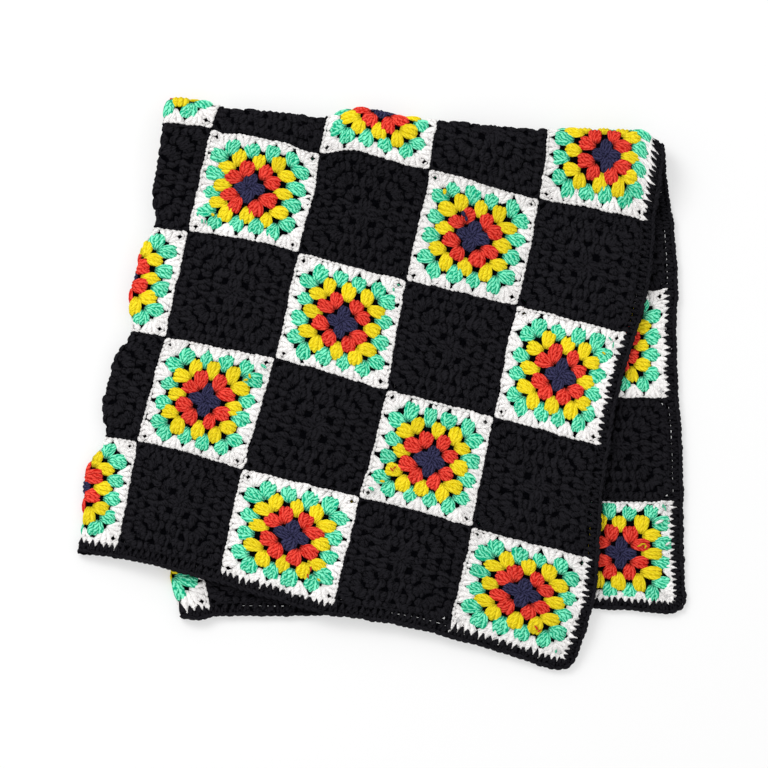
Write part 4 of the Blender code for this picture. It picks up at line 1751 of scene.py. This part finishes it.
@dataclass
class BackingCloth:
    """The close back of the stitches, painted dark as shade: a thin sheet with each square's corner
    spaces.
    """

    above: float = 0.0004
    below: float = -0.0004
    space_inset: float = 0.008
    space_half: float = 0.0023
    coarse: tuple[float, ...] = (0.030, 0.050, 0.070, 0.090)
    fine_across: float = 0.0024
    fine_up: float = 0.0040

    def lines(self, fine: float) -> np.ndarray:
        """Place the lines of the sheet's mesh one way across the chart.

        Args:
            fine: The step between lines in the middle row of squares, where the folds run.

        Returns:
            The lines: the edges of each square's spaces, a few between, and the fine ones.
        """
        lines: list[float] = []
        for square in range(SQUARES):
            start = square * SQUARE
            if square == SQUARES // 2:
                count = int(round(SQUARE / fine))
                lines += [start + SQUARE * step / count for step in range(count)]
                continue
            lines += [start]
            lines += [start + self.space_inset + way * self.space_half for way in (-1, 1)]
            lines += [start + line for line in self.coarse]
            lines += [start + (SQUARE - self.space_inset) + way * self.space_half for way in (-1, 1)]
        return np.array(lines + [FIELD])

    def beside_seams(self, lines: np.ndarray) -> np.ndarray:
        """Find the strips that run through corner spaces.

        Args:
            lines: The lines between the strips.

        Returns:
            Whether each strip does. None does in the middle squares.
        """
        middles = (lines[:-1] + lines[1:]) / 2
        from_seam = SQUARE / 2 - np.abs(middles % SQUARE - SQUARE / 2)
        beside = np.abs(from_seam - self.space_inset) < self.space_half
        return beside & (middles // SQUARE != SQUARES // 2)

    def build(self, cloth: Cloth, material: bpy.types.Material) -> bpy.types.Object:
        """Make the closed sheet on the folds.

        Args:
            cloth: The folded cloth.
            material: The sheet's material.

        Returns:
            The piece.
        """
        columns, rows = self.lines(self.fine_across), self.lines(self.fine_up)
        across, up = np.meshgrid(columns, rows, indexing="ij")
        flat = np.column_stack([-across.ravel(), up.ravel()])
        count, wide = len(flat), len(rows)
        sides = [cloth.laid(lifted(flat, height)) for height in (self.above, self.below)]
        solid = np.pad(~np.outer(self.beside_seams(columns), self.beside_seams(rows)), 1)
        faces: list[tuple[int, ...]] = []
        for column, row in zip(*np.nonzero(solid[1:-1, 1:-1])):
            first = column * wide + row
            ring = (first, first + 1, first + wide + 1, first + wide)
            faces.append(ring)
            faces.append(tuple(count + corner for corner in reversed(ring)))
            beside = (((0, 1), (-1, 0)), ((1, 2), (0, 1)), ((2, 3), (1, 0)), ((3, 0), (0, -1)))
            for (start, end), (right, above) in beside:
                if not solid[column + 1 + right, row + 1 + above]:
                    faces.append((ring[end], ring[start], count + ring[start], count + ring[end]))
        return closed_piece("backing_cloth", np.vstack(sides), faces, material)


@dataclass
class Blanket:
    """The whole blanket: its squares, its edging and the cloth behind them."""

    lay: FoldedLay = field(default_factory=FoldedLay)
    handwork: Handwork = field(default_factory=Handwork)
    squares: GrannySquares = field(default_factory=GrannySquares)
    edging: Edging = field(default_factory=Edging)
    backing: BackingCloth = field(default_factory=BackingCloth)
    looseness: float = 0.06

    def build(self) -> list[bpy.types.Object]:
        """Work every piece, lay it on the folds and tie it to the frame.

        Returns:
            The pieces, the backing cloth first.
        """
        cloth = Cloth(self.lay, self.handwork)
        charts: dict[str, Chart] = {}
        self.squares.chart(charts, self.lay)
        self.edging.chart(charts)
        yarns = {shade.value.name: shade.value for shade in Shade}
        dyed = {name: yarn.material() for name, yarn in yarns.items()}
        shapes = StitchShapes().collection()
        tree = StitchTree()
        # The backing's nearly black colour is painted shade, standing in for the shade in the gaps
        # between stitches.
        close = BackingShadeFinish().material()
        backing = self.backing.build(cloth, close)
        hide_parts("blanket_squares")
        band = self.edging.build_band(cloth, close)
        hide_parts("crochet_edging")
        pieces = [self._tied(backing, "squares_yarn"), self._tied(band, "edging_yarn")]
        for seed, (name, chart) in enumerate(sorted(charts.items())):
            yarn = next(yarns[key] for key in yarns if name.startswith(key))
            mesh = tree.worked(name, chart, shapes, dyed[yarn.name], self.looseness, seed)
            pieces.append(self._tied(self._laid(mesh, cloth), yarn.slot))
        self._clear(shapes)
        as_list(pieces[1:])
        return pieces

    def _laid(self, mesh: bpy.types.Mesh, cloth: Cloth) -> bpy.types.Object:
        """Lay a flat mesh on the folds.

        Args:
            mesh: The mesh.
            cloth: The folded cloth.

        Returns:
            The piece.
        """
        flat = np.empty(len(mesh.vertices) * 3, dtype=np.float32)
        mesh.vertices.foreach_get("co", flat)
        mesh.vertices.foreach_set("co", cloth.laid(flat.reshape(-1, 3)).astype(np.float32).ravel())
        mesh.update()
        mesh.shade_smooth()
        return in_scene(mesh.name, mesh)

    def _tied(self, piece: bpy.types.Object, slot: str) -> bpy.types.Object:
        """Tie a piece to the frame and report it.

        Args:
            piece: The piece.
            slot: The part's material slot; not used.

        Returns:
            The piece.
        """
        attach(piece, "root")
        triangles = sum(len(face.vertices) - 2 for face in piece.data.polygons)
        log.info("%s: %d triangles", piece.name, triangles)
        return piece

    def _clear(self, shapes: bpy.types.Collection) -> None:
        """Remove the stitch shapes.

        Args:
            shapes: Their collection.
        """
        for thing in list(shapes.objects):
            data = thing.data
            bpy.data.objects.remove(thing)
            bpy.data.meshes.remove(data)
        bpy.data.collections.remove(shapes)


# --------------------------------------------------------------------------------- the studio


@dataclass(frozen=True)
class Lamp:
    """A soft square light: its name, its place, how wide it is and its watts."""

    name: str
    place: Lengths
    size: float
    watts: float


@dataclass
class Studio:
    """A pale floor, soft light from above, and a camera that looks steeply down."""

    target: Lengths = (0.0017194, -0.0035757, 0.0)
    distance: float = 4.0
    elevation: float = math.radians(78.0)
    focal_pixels: float = 3740.0
    frame_pixels: float = 768.0
    sensor: float = 36.0
    view_reach: float = 20.0
    floor_size: float = 12.0
    floor_colour: Colour = (0.44, 0.44, 0.44)
    floor_glow: float = 0.475
    room_light: float = 0.80
    lamps: tuple[Lamp, ...] = (
        Lamp("key", (-1.3, 1.2, 2.4), 1.6, 46.0),
        Lamp("fill", (1.6, -1.8, 2.4), 2.4, 10.0),
    )

    def build(self) -> None:
        """Make the floor, the lights and the camera."""
        self._floor()
        self._camera()
        for lamp in self.lamps:
            self._light(lamp)
        world = bpy.data.worlds.new("soft_room")
        world.use_nodes = True
        sky = world.node_tree.nodes["Background"].inputs
        sky["Color"].default_value = (1.0, 1.0, 1.0, 1.0)
        sky["Strength"].default_value = self.room_light
        bpy.context.scene.world = world
        bpy.context.scene.view_settings.view_transform = "Standard"

    def _floor(self) -> None:
        """Make the plain pale floor."""
        half = self.floor_size / 2
        corners = [(-half, -half, 0), (half, -half, 0), (half, half, 0), (-half, half, 0)]
        data = bpy.data.meshes.new("floor")
        data.from_pydata(corners, [], [(0, 1, 2, 3)])
        data.materials.append(Shader("pale_floor").finished({
            "Base Color": (*self.floor_colour, 1.0), "Roughness": 0.9, "Specular IOR Level": 0.1,
            "Emission Color": (1.0, 1.0, 1.0, 1.0), "Emission Strength": self.floor_glow}))
        in_scene("floor", data)

    def _light(self, lamp: Lamp) -> None:
        """Make a light that faces the blanket.

        Args:
            lamp: The lamp.
        """
        data = bpy.data.lights.new(lamp.name, "AREA")
        data.size = lamp.size
        data.energy = lamp.watts
        light = in_scene(lamp.name, data)
        light.location = lamp.place
        light.rotation_euler = (-Vector(lamp.place)).to_track_quat("-Z", "Y").to_euler()

    def _camera(self) -> None:
        """Make the camera, at the photograph's angle."""
        data = bpy.data.cameras.new("camera")
        data.sensor_width = self.sensor
        data.lens = self.focal_pixels / self.frame_pixels * self.sensor
        data.clip_end = self.view_reach
        camera = in_scene("camera", data)
        back = Vector((0.0, -math.cos(self.elevation), math.sin(self.elevation)))
        camera.location = Vector(self.target) + self.distance * back
        camera.rotation_euler = (-back).to_track_quat("-Z", "Y").to_euler()
        bpy.context.scene.camera = camera


def main() -> None:
    """Load the frame, build the blanket and the studio, and note the sizes."""
    logging.basicConfig(level=logging.INFO, format="%(message)s")
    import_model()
    pieces = Blanket().build()
    log.info("pieces: %d", len(pieces))
    Studio().build()


if __name__ == "__main__":
    main()
